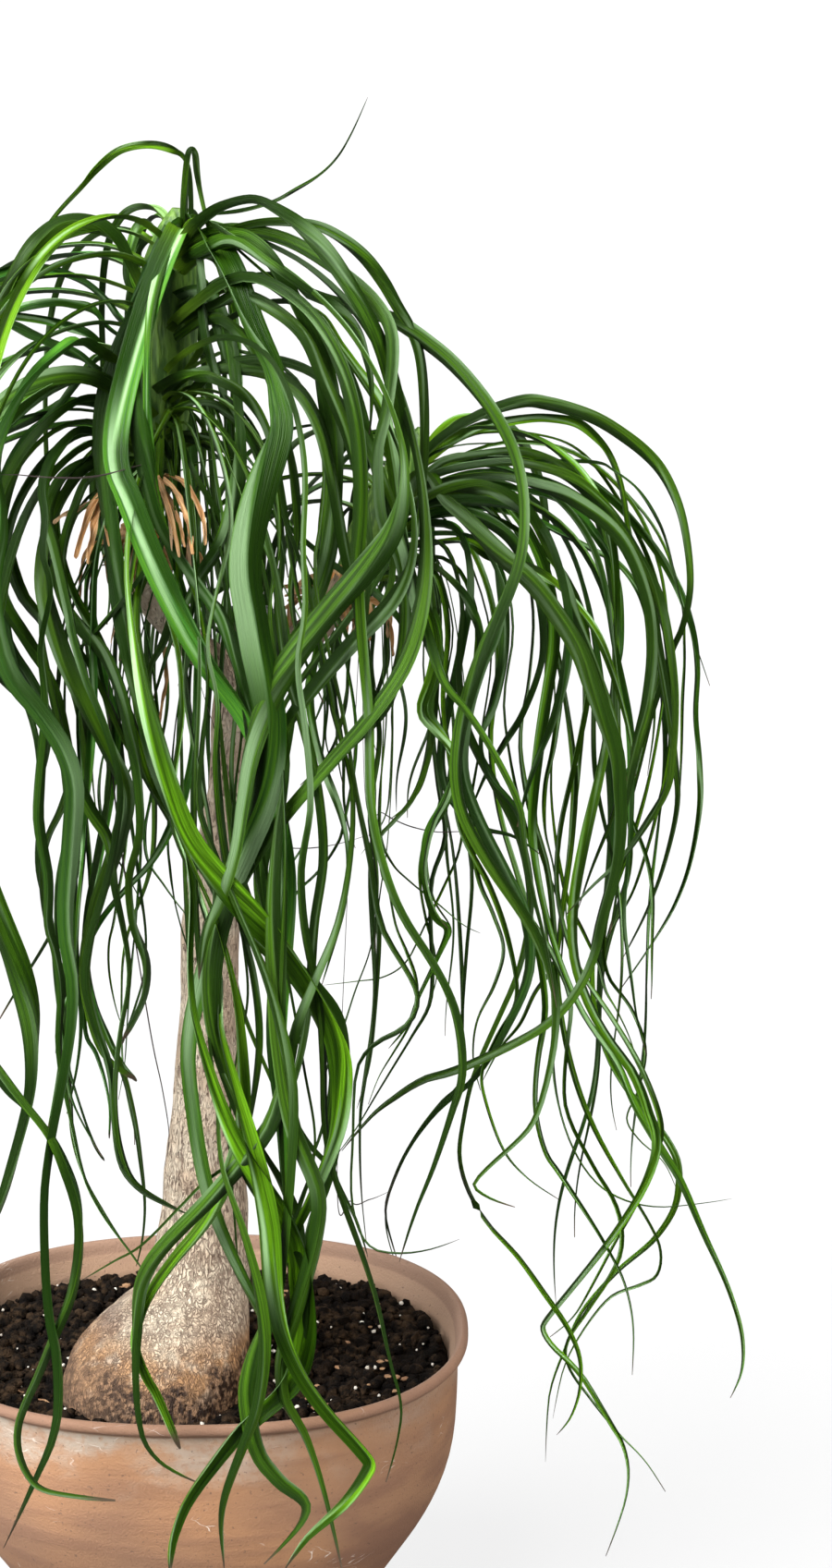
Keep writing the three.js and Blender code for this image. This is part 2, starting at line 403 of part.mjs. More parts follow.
// A closed skin over rings of points that all have the same number of points, capped flat at both ends.
function loftGeometry(rings) {
  const sides = rings[0].length;
  const places = rings.flat().flatMap((point) => [point.x, point.y, point.z]);
  const faces = [];
  for (let row = 0; row + 1 < rings.length; row++) {
    for (let side = 0; side < sides; side++) {
      const next = (side + 1) % sides;
      const [a, b] = [row * sides + side, row * sides + next];
      faces.push(a, b, b + sides, a, b + sides, a + sides);
    }
  }
  for (const [row, turned] of [[0, true], [rings.length - 1, false]]) {
    const middle = new THREE.Vector3();
    rings[row].forEach((point) => middle.addScaledVector(point, 1 / sides));
    const hub = places.length / 3;
    places.push(middle.x, middle.y, middle.z);
    for (let side = 0; side < sides; side++) {
      const [a, b] = [row * sides + side, row * sides + ((side + 1) % sides)];
      faces.push(...(turned ? [b, a, hub] : [a, b, hub]));
    }
  }
  const geometry = new THREE.BufferGeometry();
  geometry.setAttribute("position", new THREE.Float32BufferAttribute(places, 3));
  return geometry.setIndex(faces);
}

function solidOf(geometry) {
  geometry.deleteAttribute("normal");
  geometry.deleteAttribute("uv");
  const merged = mergeVertices(geometry, 1e-4);
  return new wasm.Manifold(
    new wasm.Mesh({
      numProp: 3,
      vertProperties: merged.attributes.position.array,
      triVerts: new Uint32Array(merged.index.array),
    }),
  );
}

function geometryOf(solid) {
  const { vertProperties, triVerts, numProp } = solid.getMesh();
  const places = [];
  for (let at = 0; at < vertProperties.length; at += numProp) {
    places.push(...vertProperties.subarray(at, at + 3));
  }
  const geometry = new THREE.BufferGeometry();
  geometry.setAttribute("position", new THREE.Float32BufferAttribute(places, 3));
  return geometry.setIndex([...triVerts]);
}

// The one body that is left when sealed hollows are filled and loose scraps are dropped.
function largestBody(solid) {
  const bodies = solid.decompose().filter((body) => body.volume() > 0);
  return bodies.reduce((best, body) => (body.volume() > best.volume() ? body : best));
}

function joined(solids) {
  let layer = solids;
  while (layer.length > 1) {
    const next = [];
    for (let at = 0; at < layer.length; at += 2) {
      next.push(at + 1 < layer.length ? layer[at].add(layer[at + 1]) : layer[at]);
    }
    layer = next;
  }
  return layer[0];
}

// Bowl and soil.

function ovalPoint(share, angle, height) {
  const power = 2 / pot.squareness;
  const round = (value) => Math.sign(value) * Math.abs(value) ** power;
  const [x, y] = [round(Math.cos(angle)), round(Math.sin(angle))];
  return new THREE.Vector3(share * pot.halfWidth * x, share * pot.halfDepth * y, height);
}

function ovalRing(share, height) {
  const angle = (side) => (side / pot.sides) * 2 * Math.PI;
  return Array.from({ length: pot.sides }, (_, side) => ovalPoint(share, angle(side), height));
}

function insideShare(height) {
  const upward = [...potInside].reverse();
  const above = upward.findIndex(([, level]) => level >= height);
  const [[lowShare, low], [highShare, high]] = [upward[above - 1], upward[above]];
  return mix(lowShare, highShare, (height - low) / (high - low));
}

function makePot() {
  const rings = [...potOutside, ...potInside].map(([share, height]) => ovalRing(share, height));
  let bowl = solidOf(loftGeometry(rings));
  for (let hole = 0; hole < pot.drainHoles; hole++) {
    const angle = ((hole + 0.5) / pot.drainHoles) * 2 * Math.PI;
    const drill = new THREE.CylinderGeometry(pot.drainRadius, pot.drainRadius, 3 * pot.floor, pot.drainSides);
    drill.rotateX(Math.PI / 2);
    drill.translate(pot.drainCircle * Math.cos(angle), pot.drainCircle * Math.sin(angle), pot.floor / 2);
    bowl = bowl.subtract(solidOf(drill));
  }
  return bowl;
}

// Filled to just under the lip, clear of the wall by the fit, with a top of coarse crumbs.
function makeSoil(hole) {
  const clear = fit / pot.halfDepth;
  const levels = [pot.floor + fit, ...soil.levels];
  const rings = levels.map((height) => ovalRing(insideShare(height) - 2 * clear, height));
  const random = seeded(soil.seed);
  const edge = insideShare(soil.top) - 3 * clear;
  for (let ring = 0; ring < soil.rings; ring++) {
    const share = edge * (1 - ring / soil.rings);
    const crumbs = ovalRing(share, soil.top - (ring ? 0 : soil.edgeDrop));
    crumbs.forEach((point) => {
      point.z += soil.crumb * (2 * random() - 1) * (ring ? 1 : 0.5);
    });
    rings.push(crumbs);
  }
  return largestBody(solidOf(loftGeometry(rings)).subtract(hole));
}

// Foot, trunk and branches.

function woodRing([x, y, height, radius], wider, random) {
  return Array.from({ length: trunk.sides }, (_, side) => {
    const angle = (side / trunk.sides) * 2 * Math.PI;
    const reach = radius * (1 + trunk.lump * (2 * random() - 1)) + wider;
    return new THREE.Vector3(x + reach * Math.cos(angle), y + reach * Math.sin(angle), height);
  });
}

function makeStump(wider) {
  const random = seeded(trunk.seed);
  const rings = trunkRings.map((ring) => woodRing(ring, wider, random));
  if (wider) rings[0].forEach((point) => (point.z -= wider));
  return solidOf(loftGeometry(rings));
}

// A round tube through points with their own radii, each end square to its last stretch.
function tubeOf(points, wider, sides) {
  const middles = points.map(vector);
  const last = middles.length - 1;
  let across = new THREE.Vector3(0, 1, 0);
  const rings = points.map(([, , , radius], at) => {
    const along = middles[Math.min(at + 1, last)].clone().sub(middles[Math.max(at - 1, 0)]).normalize();
    across = square(across, along);
    const other = along.clone().cross(across);
    return Array.from({ length: sides }, (_, side) => {
      const angle = (side / sides) * 2 * Math.PI;
      const reach = radius + wider;
      return middles[at]
        .clone()
        .addScaledVector(across, reach * Math.cos(angle))
        .addScaledVector(other, reach * Math.sin(angle));
    });
  });
  return solidOf(loftGeometry(rings));
}

// Where a head's stem starts: straight on from its branch, the fit above it.
function stemPoints(branch, stem) {
  const [before, end] = branch.slice(-2);
  const along = vector(end).sub(vector(before)).normalize();
  const start = vector(end).addScaledVector(along, fit);
  const onward = vector(end).addScaledVector(along, 12);
  return [[...start.toArray(), end[3]], [...onward.toArray(), end[3] + 2], ...stem];
}

// Sheet and depth.

const tilt = THREE.MathUtils.degToRad(sheet.pitch);
const sheetUp = new THREE.Vector3(0, Math.sin(tilt), Math.cos(tilt));
const sheetAhead = new THREE.Vector3(0, Math.cos(tilt), -Math.sin(tilt));

function onSheet(right, down) {
  const point = new THREE.Vector3((right - sheet.foot[0]) * sheet.step, 0, 0);
  return point.addScaledVector(sheetUp, (sheet.foot[1] - down) * sheet.step);
}

const eye = onSheet(...sheet.middle).addScaledVector(sheetAhead, -sheet.distance);

function atDepth(right, down, depth) {
  const point = onSheet(right, down);
  return eye.clone().lerp(point, (depth - eye.y) / (point.y - eye.y));
}

// Keeping leaves clear.

const branchPost = (branch) => branch.map(([x, y, z, radius]) => [x, y, z, radius * branchSwell + leafClear]);
const posts = [
  trunkRings.map(([x, y, z, radius]) => [x, y, z, radius + leafClear]),
  branchPost(leftBranch),
  branchPost(rightBranch),
  leftBranch.slice(-3).map(([x, y, z]) => [x, y, z, dryClear]),
  rightBranch.slice(-3).map(([x, y, z]) => [x, y, z, dryClear]),
];

// A post's middle and radius at a height, or nothing above or below it.
function postAt(post, height) {
  if (height < post[0][2] - leafClear || height > post[post.length - 1][2] + leafClear) return null;
  let at = 0;
  while (at + 2 < post.length && post[at + 1][2] < height) at++;
  const [low, high] = [post[at], post[at + 1]];
  const share = Math.min(1, Math.max(0, (height - low[2]) / (high[2] - low[2])));
  const [x, y, , radius] = low.map((value, place) => mix(value, high[place], share));
  return { x, y, radius };
}

function dividingDepth(x) {
  return -divide.reach * Math.tanh((x - divide.middle) / divide.width);
}

// How much of the bowl's outline a hanging leaf stays out of, growing as it comes down to the rim.
function potKeepOut(height, over) {
  return Math.min(1, Math.max(0, (pot.height + leafClear + over - height) / over));
}

// The depth that a drawn leaf may not pass, in front of (side -1) or behind (side 1) what it hangs over.
function depthLimit(x, height, side) {
  let limit = dividingDepth(x) + side * divide.gap;
  const pick = side < 0 ? Math.min : Math.max;
  for (const post of posts) {
    const found = postAt(post, height);
    if (!found || Math.abs(x - found.x) >= found.radius) continue;
    limit = pick(limit, found.y + side * Math.sqrt(found.radius ** 2 - (x - found.x) ** 2));
  }
  const share = potKeepOut(height, rimReach.drawn);
  const across = Math.abs(x) / (pot.halfWidth + leafClear);
  if (share > 0 && across < 1) {
    const deep = (1 - across ** pot.squareness) ** (1 / pot.squareness);
    limit = pick(limit, side * share * deep * (pot.halfDepth + leafClear));
  }
  return limit;
}

// Moves a free leaf's point sideways, out of the other head's space, the wood and the bowl.
function movedClear(point, side) {
  const limit = dividingDepth(point.x) + side * divide.gap;
  if (side * (point.y - limit) < 0) point.y = limit;
  for (const post of posts) {
    const found = postAt(post, point.z);
    if (!found) continue;
    const away = new THREE.Vector2(point.x - found.x, point.y - found.y);
    if (away.length() >= found.radius) continue;
    away.setLength(found.radius);
    point.x = found.x + away.x;
    point.y = found.y + away.y;
  }
  const reach = potKeepOut(point.z, rimReach.wild);
  const [across, deep] = [point.x / (pot.halfWidth + leafClear), point.y / (pot.halfDepth + leafClear)];
  const power = pot.squareness;
  const share = (Math.abs(across) ** power + Math.abs(deep) ** power) ** (1 / power);
  if (share < reach && share > 0) {
    point.x *= reach / share;
    point.y *= reach / share;
  }
}

// Leaves.

// A drawn leaf: from its stem, through the sheet's points, at a depth that runs from the stem's to its own.
function drawnPoints([, depth, ...flat], roots, side, random) {
  const drawn = [];
  for (let at = 0; at < flat.length; at += 2) drawn.push(new THREE.Vector2(flat[at], flat[at + 1]));
  const rise = Math.min(1, Math.max(0, (roots.low[1] - drawn[0].y - 10) / (roots.low[1] - roots.high[1])));
  drawn.unshift(
    new THREE.Vector2(mix(roots.low[0], roots.high[0], rise), mix(roots.low[1], roots.high[1], rise)),
  );
  const curve = new THREE.SplineCurve(drawn);
  const [turns, start, early] = [1.1 + random(), random(), mix(0.3, 0.75, random())];
  const depths = [];
  const marks = [];
  for (let at = 0; at <= samples; at++) {
    const share = at / samples;
    const out = 1 - (1 - Math.min(1, share / early)) ** 2;
    const wander = sway * Math.sin(2 * Math.PI * (turns * share + start)) * ease(share / 0.35);
    marks.push(curve.getPoint(share));
    depths.push(mix(roots.depth, depth, out) + wander);
  }
  const held = (at) => {
    const place = atDepth(marks[at].x, marks[at].y, depths[at]);
    const limit = depthLimit(place.x, place.z, side);
    return side < 0 ? Math.min(depths[at], limit) : Math.max(depths[at], limit);
  };
  for (let round = 0; round < settleRounds; round++) {
    for (let at = rooted; at <= samples; at++) depths[at] = held(at);
    for (let at = rooted; at < samples; at++) {
      depths[at] = (depths[at - 1] + 2 * depths[at] + depths[at + 1]) / 4;
    }
  }
  for (let at = rooted; at <= samples; at++) depths[at] = held(at);
  return marks.map((mark, at) => atDepth(mark.x, mark.y, depths[at]));
}

// A free leaf: out of the stem, over in an arch, then down in loose curls.
function wildPoints(stem, span, order, side, random) {
  const rank = (order + random()) / span.leaves;
  const place = mix(wild.lowest, wild.highest, rank);
  const stemCurve = new THREE.CatmullRomCurve3(stem.map(vector));
  const point = stemCurve.getPoint(place);
  const turned = ((order * wild.goldenTurn) % 1) + wild.stray * random();
  const heading = THREE.MathUtils.degToRad(mix(span.from, span.to, turned));
  const rise = THREE.MathUtils.degToRad(mix(wild.flat, wild.rise, rank));
  const length = mix(wild.least, wild.most, random());
  const [turns, start, twirls, begin] = [1.2 + 1.3 * random(), random(), 0.8 + random(), random()];
  const points = [point.clone()];
  const step = length / samples;
  for (let at = 1; at <= samples; at++) {
    const share = at / samples;
    const hung = ease(share / wild.arch);
    const loose = ease((share - 0.3) / 0.4);
    const swing = loose * wild.swing * Math.sin(2 * Math.PI * (turns * share + start));
    const slope = mix(rise, THREE.MathUtils.degToRad(wild.droop), hung) + THREE.MathUtils.degToRad(swing);
    const turn = heading + wild.curl * Math.sin(2 * Math.PI * (twirls * share + begin)) * loose;
    point.x += step * Math.cos(slope) * Math.cos(turn);
    point.y += step * Math.cos(slope) * Math.sin(turn);
    point.z += step * Math.sin(slope);
    const clear = point.clone();
    if (at > rooted) {
      movedClear(clear, side);
      movedClear(clear, side);
    }
    points.push(clear);
  }
  return points;
}

// The upper face's direction all along a leaf. It starts facing up, follows the bends, and turns by a share of
// the way towards the sheet's eye.
function leafNormals(points, outward, facing, random) {
  const last = points.length - 1;
  const [turns, start] = [0.8 + random(), random()];
  let normal = new THREE.Vector3(0, 0, 1).addScaledVector(outward, -0.6);
  let turn = 0;
  const rows = [];
  for (let at = 0; at <= last; at++) {
    const along = points[Math.min(at + 1, last)].clone().sub(points[Math.max(at - 1, 0)]).normalize();
    normal = square(normal, along);
    const toEye = square(eye.clone().sub(points[at]), along);
    const angle = Math.atan2(along.dot(normal.clone().cross(toEye)), normal.dot(toEye));
    turn = angle + Math.PI * Math.round((turn - angle) / Math.PI);
    const share = at / last;
    const wave = blade.twist * Math.sin(2 * Math.PI * (turns * share + start)) * ease(share / 0.3);
    const twist = facing * turn * ease(share / 0.35) + wave;
    rows.push({ along, normal: normal.clone().applyAxisAngle(along, twist) });
  }
  return rows;
}

function bladeWidth(width, share) {
  const base = mix(blade.baseShare, 1, Math.min(1, share / blade.fullAt));
  const wide = mix(1, blade.wideMore, Math.min(1, Math.max(0, (width - blade.wideFrom) / blade.wideStep)));
  return width * wide * base * (1 - (1 - blade.tipShare) * share ** blade.taper);
}

// Picks the fold of a four-cornered face that stands away from the leaf's middle.
function foldedFace(places, [a, b, c, d], outward) {
  const middle = (one, other) => places[one].clone().add(places[other]).multiplyScalar(0.5).dot(outward);
  return middle(a, c) > middle(b, d) ? [a, b, c, a, c, d] : [a, b, d, b, c, d];
}

// A three-edged blade: two thin edges and a keel below, all in as few faces as its curls allow.
function leafSolid(width, points, rows, lengths) {
  const places = [];
  const outs = [];
  for (let at = 0; at <= lengths; at++) {
    const row = Math.round((at / lengths) * samples);
    const share = row / samples;
    const { along, normal } = rows[row];
    const across = along.clone().cross(normal);
    const half = bladeWidth(width, share) / 2;
    const keel = mix(blade.keel, blade.tipKeel, share);
    const middle = points[row];
    places.push(middle.clone().addScaledVector(across, half));
    places.push(middle.clone().addScaledVector(across, -half));
    places.push(middle.clone().addScaledVector(normal, -keel));
    outs.push({ normal, across });
  }
  const faces = [0, 1, 2];
  for (let at = 0; at < lengths; at++) {
    const [from, to] = [3 * at, 3 * at + 3];
    const { normal, across } = outs[at];
    const down = normal.clone().negate();
    const corners = (one, other) => [from + one, to + one, to + other, from + other];
    faces.push(...foldedFace(places, corners(0, 1), normal));
    faces.push(...foldedFace(places, corners(1, 2), down.clone().addScaledVector(across, -0.2)));
    faces.push(...foldedFace(places, corners(2, 0), down.addScaledVector(across, 0.2)));
  }
  const end = 3 * lengths;
  faces.push(end, end + 2, end + 1);
  const geometry = new THREE.BufferGeometry();
  geometry.setAttribute("position", new THREE.Float32BufferAttribute(places.flatMap((p) => p.toArray()), 3));
  return solidOf(geometry.setIndex(faces));
}

function makeHead(branch, stem, routes, roots, span, side) {
  const spine = stemPoints(branch, stem);
  const solids = [tubeOf(spine, 0, stemSides)];
  routes.forEach((route, order) => {
    const random = seeded(span.seed + 100003 * (order + 1));
    const points = drawnPoints(route, roots, side, random);
    const outward = points[rooted].clone().sub(points[0]).setZ(0).normalize();
    const rows = leafNormals(points, outward, blade.facing, random);
    const drawn = (route.length - 2) / 2;
    solids.push(leafSolid(route[0], points, rows, drawn > longRoute ? segments.long : segments.short));
  });
  for (let order = 0; order < span.leaves; order++) {
    const random = seeded(span.seed * 3 + 70001 * (order + 1));
    const points = wildPoints(stem, span, order, side, random);
    const outward = points[rooted].clone().sub(points[0]).setZ(0).normalize();
    const rows = leafNormals(points, outward, 0, random);
    solids.push(leafSolid(mix(wild.narrow, wild.wide, random()), points, rows, segments.wild));
  }
  return largestBody(joined(solids));
}

// Dry leaves.

function makeDryLeaves(branch, seed) {
  const end = vector(branch[branch.length - 1]);
  const before = vector(branch[branch.length - 2]);
  const along = end.clone().sub(before).normalize();
  const radius = branch[branch.length - 1][3];
  const top = end.clone().addScaledVector(along, -1);
  const bottom = top.clone().addScaledVector(along, -dry.ringLength);
  const ends = [bottom, top].map((point) => [...point.toArray(), radius]);
  const solids = [tubeOf(ends, dry.wall, dry.sides)];
  const across = square(new THREE.Vector3(0, 1, 0), along);
  const random = seeded(seed);
  for (let strip = 0; strip < dry.strips; strip++) {
    const angle = ((strip + 0.6 * random()) / dry.strips) * 2 * Math.PI;
    const outward = across.clone().applyAxisAngle(along, angle);
    const level = mix(...dry.level, random());
    const point = bottom.clone().lerp(top, level).addScaledVector(outward, radius + 1);
    const length = mix(dry.least, dry.most, random());
    const slope = mix(...dry.slope, random());
    const points = [point.clone()];
    for (let at = 1; at <= samples; at++) {
      const share = at / samples;
      const fall = mix(slope, dry.hang, ease(share / 0.7));
      const flat = outward.clone().setZ(0).normalize();
      point.addScaledVector(flat, (length / samples) * Math.cos(fall));
      point.z += (length / samples) * Math.sin(fall);
      points.push(point.clone());
    }
    const rows = leafNormals(points, outward, 0, random);
    solids.push(leafSolid(dry.width * mix(dry.thin, dry.broad, random()), points, rows, segments.dry));
  }
  const hole = tubeOf(branch.slice(-3), holes.dry, dry.sides);
  return largestBody(joined(solids).subtract(hole));
}

// Assembly.

const stump = makeStump(0);
const branches = [leftBranch, rightBranch].map((branch) => tubeOf(branch, 0, branchSides));
const [topX, topY, topHeight, topRadius] = trunkRings[trunkRings.length - 1];
const sealRadius = topRadius + seal.overhang;
const sealDisc = new THREE.CylinderGeometry(sealRadius - seal.bevel, sealRadius, seal.thickness, trunk.sides);
sealDisc.rotateX(Math.PI / 2).translate(topX, topY, topHeight + fit + seal.thickness / 2);

const plant = new THREE.Group();
plant.add(named("pot", geometryOf(makePot()), finish.terracotta));
plant.add(named("soil", geometryOf(makeSoil(makeStump(holes.soil))), finish.soil));
plant.add(named("trunk", geometryOf(joined([stump, ...branches])), finish.bark));
plant.add(named("cut_seal", sealDisc, finish.seal));
const [leftHead, rightHead] = [
  makeHead(leftBranch, leftStem, leftRoutes, leftRoots, leftWild, -1),
  makeHead(rightBranch, rightStem, rightRoutes, rightRoots, rightWild, 1),
];
plant.add(named("head_left", geometryOf(leftHead), finish.leaf));
plant.add(named("head_right", geometryOf(rightHead), finish.leaf));
plant.add(named("dry_leaves_left", geometryOf(makeDryLeaves(leftBranch, dry.seeds[0])), finish.dryLeaf));
plant.add(named("dry_leaves_right", geometryOf(makeDryLeaves(rightBranch, dry.seeds[1])), finish.dryLeaf));

export default plant;
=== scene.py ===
# A ponytail palm in an oval terracotta bowl, dressed around its CAD frame.
import bpy
import math
import numpy as np
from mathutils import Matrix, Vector, noise


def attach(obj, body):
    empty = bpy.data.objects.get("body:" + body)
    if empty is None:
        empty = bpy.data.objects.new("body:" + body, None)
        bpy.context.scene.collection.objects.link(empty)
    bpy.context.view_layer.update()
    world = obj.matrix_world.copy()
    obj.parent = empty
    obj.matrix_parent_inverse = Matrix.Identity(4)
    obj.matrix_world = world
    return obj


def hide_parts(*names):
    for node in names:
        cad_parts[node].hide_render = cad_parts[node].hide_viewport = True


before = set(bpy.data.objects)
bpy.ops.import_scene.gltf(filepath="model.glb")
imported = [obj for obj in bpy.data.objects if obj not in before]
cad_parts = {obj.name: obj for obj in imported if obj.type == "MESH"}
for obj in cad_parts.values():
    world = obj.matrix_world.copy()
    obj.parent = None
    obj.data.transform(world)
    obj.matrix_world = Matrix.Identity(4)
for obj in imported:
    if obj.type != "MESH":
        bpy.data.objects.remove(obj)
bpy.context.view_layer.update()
mm = 0.001
print("frame loaded:", sorted(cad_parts))


# small helpers

chance = {"step": 48271, "top": 2147483647}
noiseShift = (7.1, 3.3, 5.7)


def seeded(seed):
    # the same row of numbers from 0 to 1 for the same seed
    state = seed % chance["top"]

    def draw():
        nonlocal state
        state = state * chance["step"] % chance["top"]
        return state / chance["top"]

    draw()
    draw()
    return draw


def mix(low, high, share):
    return low + (high - low) * share


def ease(share):
    held = np.clip(share, 0, 1)
    return held * held * (3 - 2 * held)


def deselectAll():
    if bpy.context.object and bpy.context.object.mode != "OBJECT":
        bpy.ops.object.mode_set(mode="OBJECT")
    bpy.ops.object.select_all(action="DESELECT")


def makeActive(obj):
    deselectAll()
    obj.select_set(True)
    bpy.context.view_layer.objects.active = obj


def applyModifier(obj, kind, **values):
    makeActive(obj)
    modifier = obj.modifiers.new(kind.title(), kind)
    for name, value in values.items():
        setattr(modifier, name, value)
    bpy.ops.object.modifier_apply(modifier=modifier.name)


def selectVerts(obj, wanted):
    # in edit mode: only the vertices for which wanted(place) is true
    bpy.ops.object.mode_set(mode="EDIT")
    bpy.ops.mesh.select_mode(type="VERT")
    bpy.ops.mesh.select_all(action="DESELECT")
    bpy.ops.object.mode_set(mode="OBJECT")
    for vert in obj.data.vertices:
        vert.select = bool(wanted(vert.co))
    bpy.ops.object.mode_set(mode="EDIT")


def joinAll(objects, name):
    deselectAll()
    for obj in objects:
        obj.select_set(True)
    bpy.context.view_layer.objects.active = objects[0]
    if len(objects) > 1:
        bpy.ops.object.join()
    objects[0].name = name
    objects[0].data.name = name
    return objects[0]


def smooth(obj, angle=None):
    makeActive(obj)
    if angle is None:
        bpy.ops.object.shade_smooth()
    else:
        bpy.ops.object.shade_smooth_by_angle(angle=math.radians(angle))


def finishPiece(obj, material, slot, *nodes):
    obj.data.materials.clear()
    obj.data.materials.append(material)
    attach(obj, "root")
    if nodes:
        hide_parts(*nodes)


def places(mesh, kind="co"):
    flat = np.zeros(len(mesh.vertices) * 3, np.float64)
    mesh.vertices.foreach_get(kind, flat)
    return flat.reshape(-1, 3)


def setPlaces(mesh, points):
    mesh.vertices.foreach_set("co", np.ascontiguousarray(points, np.float32).ravel())
    mesh.update()


def markPoints(mesh, name, values):
    # one number a vertex, which the materials read
    made = mesh.attributes.new(name, "FLOAT", "POINT")
    made.data.foreach_set("value", np.asarray(values, np.float32))


def addObject(name, data):
    made = bpy.data.objects.new(name, data)
    bpy.context.collection.objects.link(made)
    return made


def lumps(points, size, seed):
    # smooth noise from -1 to 1 at each point, with lumps about that size
    shift = Vector([seed * part for part in noiseShift])
    return np.array([noise.noise(Vector(point) / size + shift) for point in points])


def wave(turns):
    return math.sin(2 * math.pi * turns)


def unit(vectors):
    return vectors / np.maximum(np.linalg.norm(vectors, axis=-1, keepdims=True), 1e-9)


def levelled(vectors):
    return unit(vectors * np.array([1, 1, 0]))


# camera, light and floor

view = {
    "place": (0.1374, -1.9796, 1.1122),
    "tilt": 75,
    "lens": 77.8,
    "sensor": 36,
    "farthest": 200,
    "lightAway": 3,
    # each light: strength, angle, whether it shines on gloss, side it comes from
    "lights": {
        "key": (6.6, 50, True, (-0.5, -0.5, 0.7)),
        "side": (2.8, 50, True, (-0.8, -0.6, 0.1)),
        "fill": (2.9, 40, False, (0.75, -0.5, 0.35)),
        "rear": (1.5, 60, False, (0.2, 0.8, 0.5)),
    },
    "roomDark": 0.08,
    "roomTop": 0.22,
    "softbox": 0.14,
    "softboxSide": (-0.45, -0.45, 0.77),
    "softboxEdge": (0.55, 0.95),
    "backdrop": 0.99,
    "floorColor": (0.12, 0.12, 0.12, 1),
    "floorGlow": 0.78,
    "floorRoughness": 0.8,
    "floorSize": 90,
}


def makeRoom():
    # a dim room with one broad soft light overhead, in front of a pale backdrop
    world = bpy.data.worlds.new("softRoom")
    world.use_nodes = True
    tree = world.node_tree
    toward = tree.nodes.new("ShaderNodeTexCoord").outputs["Generated"]
    facing = tree.nodes.new("ShaderNodeVectorMath")
    facing.operation = "DOT_PRODUCT"
    facing.inputs[1].default_value = Vector(view["softboxSide"]).normalized()
    tree.links.new(toward, facing.inputs[0])
    box = tree.nodes.new("ShaderNodeMapRange")
    box.interpolation_type = "SMOOTHSTEP"
    edge = view["softboxEdge"]
    for name, value in (("From Min", edge[0]), ("From Max", edge[1]), ("To Max", view["softbox"])):
        box.inputs[name].default_value = value
    tree.links.new(facing.outputs["Value"], box.inputs["Value"])
    up = tree.nodes.new("ShaderNodeSeparateXYZ")
    tree.links.new(toward, up.inputs[0])
    sky = tree.nodes.new("ShaderNodeMapRange")
    sky.inputs["To Min"].default_value = view["roomDark"]
    sky.inputs["To Max"].default_value = view["roomTop"]
    tree.links.new(up.outputs["Z"], sky.inputs["Value"])
    light = tree.nodes.new("ShaderNodeMath")
    tree.links.new(box.outputs[0], light.inputs[0])
    tree.links.new(sky.outputs[0], light.inputs[1])
    seen = tree.nodes.new("ShaderNodeMix")
    tree.links.new(tree.nodes.new("ShaderNodeLightPath").outputs["Is Camera Ray"], seen.inputs[0])
    tree.links.new(light.outputs[0], seen.inputs[2])
    seen.inputs[3].default_value = view["backdrop"]
    background = tree.nodes["Background"]
    background.inputs["Color"].default_value = (1, 1, 1, 1)
    tree.links.new(seen.outputs[0], background.inputs["Strength"])
    world.cycles_visibility.glossy = False
    return world


def makeStage():
    scene = bpy.context.scene
    scene.view_settings.view_transform = "Standard"
    deselectAll()
    bpy.ops.object.camera_add(location=view["place"], rotation=(math.radians(view["tilt"]), 0, 0))
    camera = bpy.context.object
    camera.data.lens = view["lens"]
    camera.data.sensor_width = view["sensor"]
    camera.data.clip_end = view["farthest"]
    scene.camera = camera
    for light, (strength, angle, glossy, side) in view["lights"].items():
        toward = Vector(side)
        turned = toward.to_track_quat("Z", "Y").to_euler()
        bpy.ops.object.light_add(type="SUN", location=view["lightAway"] * toward, rotation=turned)
        made = bpy.context.object
        made.name = light
        made.data.energy = strength
        made.data.angle = math.radians(angle)
        made.visible_glossy = glossy
    scene.world = makeRoom()
    bpy.ops.mesh.primitive_plane_add(size=view["floorSize"])
    floor = bpy.context.object
    floor.name = "floor"
    paint = bpy.data.materials.new("paleFloor")
    paint.use_nodes = True
    tree = paint.node_tree
    shader = tree.nodes["Principled BSDF"]
    shader.inputs["Base Color"].default_value = view["floorColor"]
    shader.inputs["Roughness"].default_value = view["floorRoughness"]
    shader.inputs["Specular IOR Level"].default_value = 0.0
    shader.inputs["Emission Color"].default_value = (1, 1, 1, 1)
    seen = tree.nodes.new("ShaderNodeLightPath").outputs["Is Camera Ray"]
    glow = tree.nodes.new("ShaderNodeMath")
    glow.operation = "MULTIPLY"
    glow.inputs[1].default_value = view["floorGlow"]
    tree.links.new(seen, glow.inputs[0])
    tree.links.new(glow.outputs[0], shader.inputs["Emission Strength"])
    floor.data.materials.append(paint)


makeStage()
print("camera, light and floor ready")


# sizes shared with the frame, in mm; a ring is x, y, height and radius

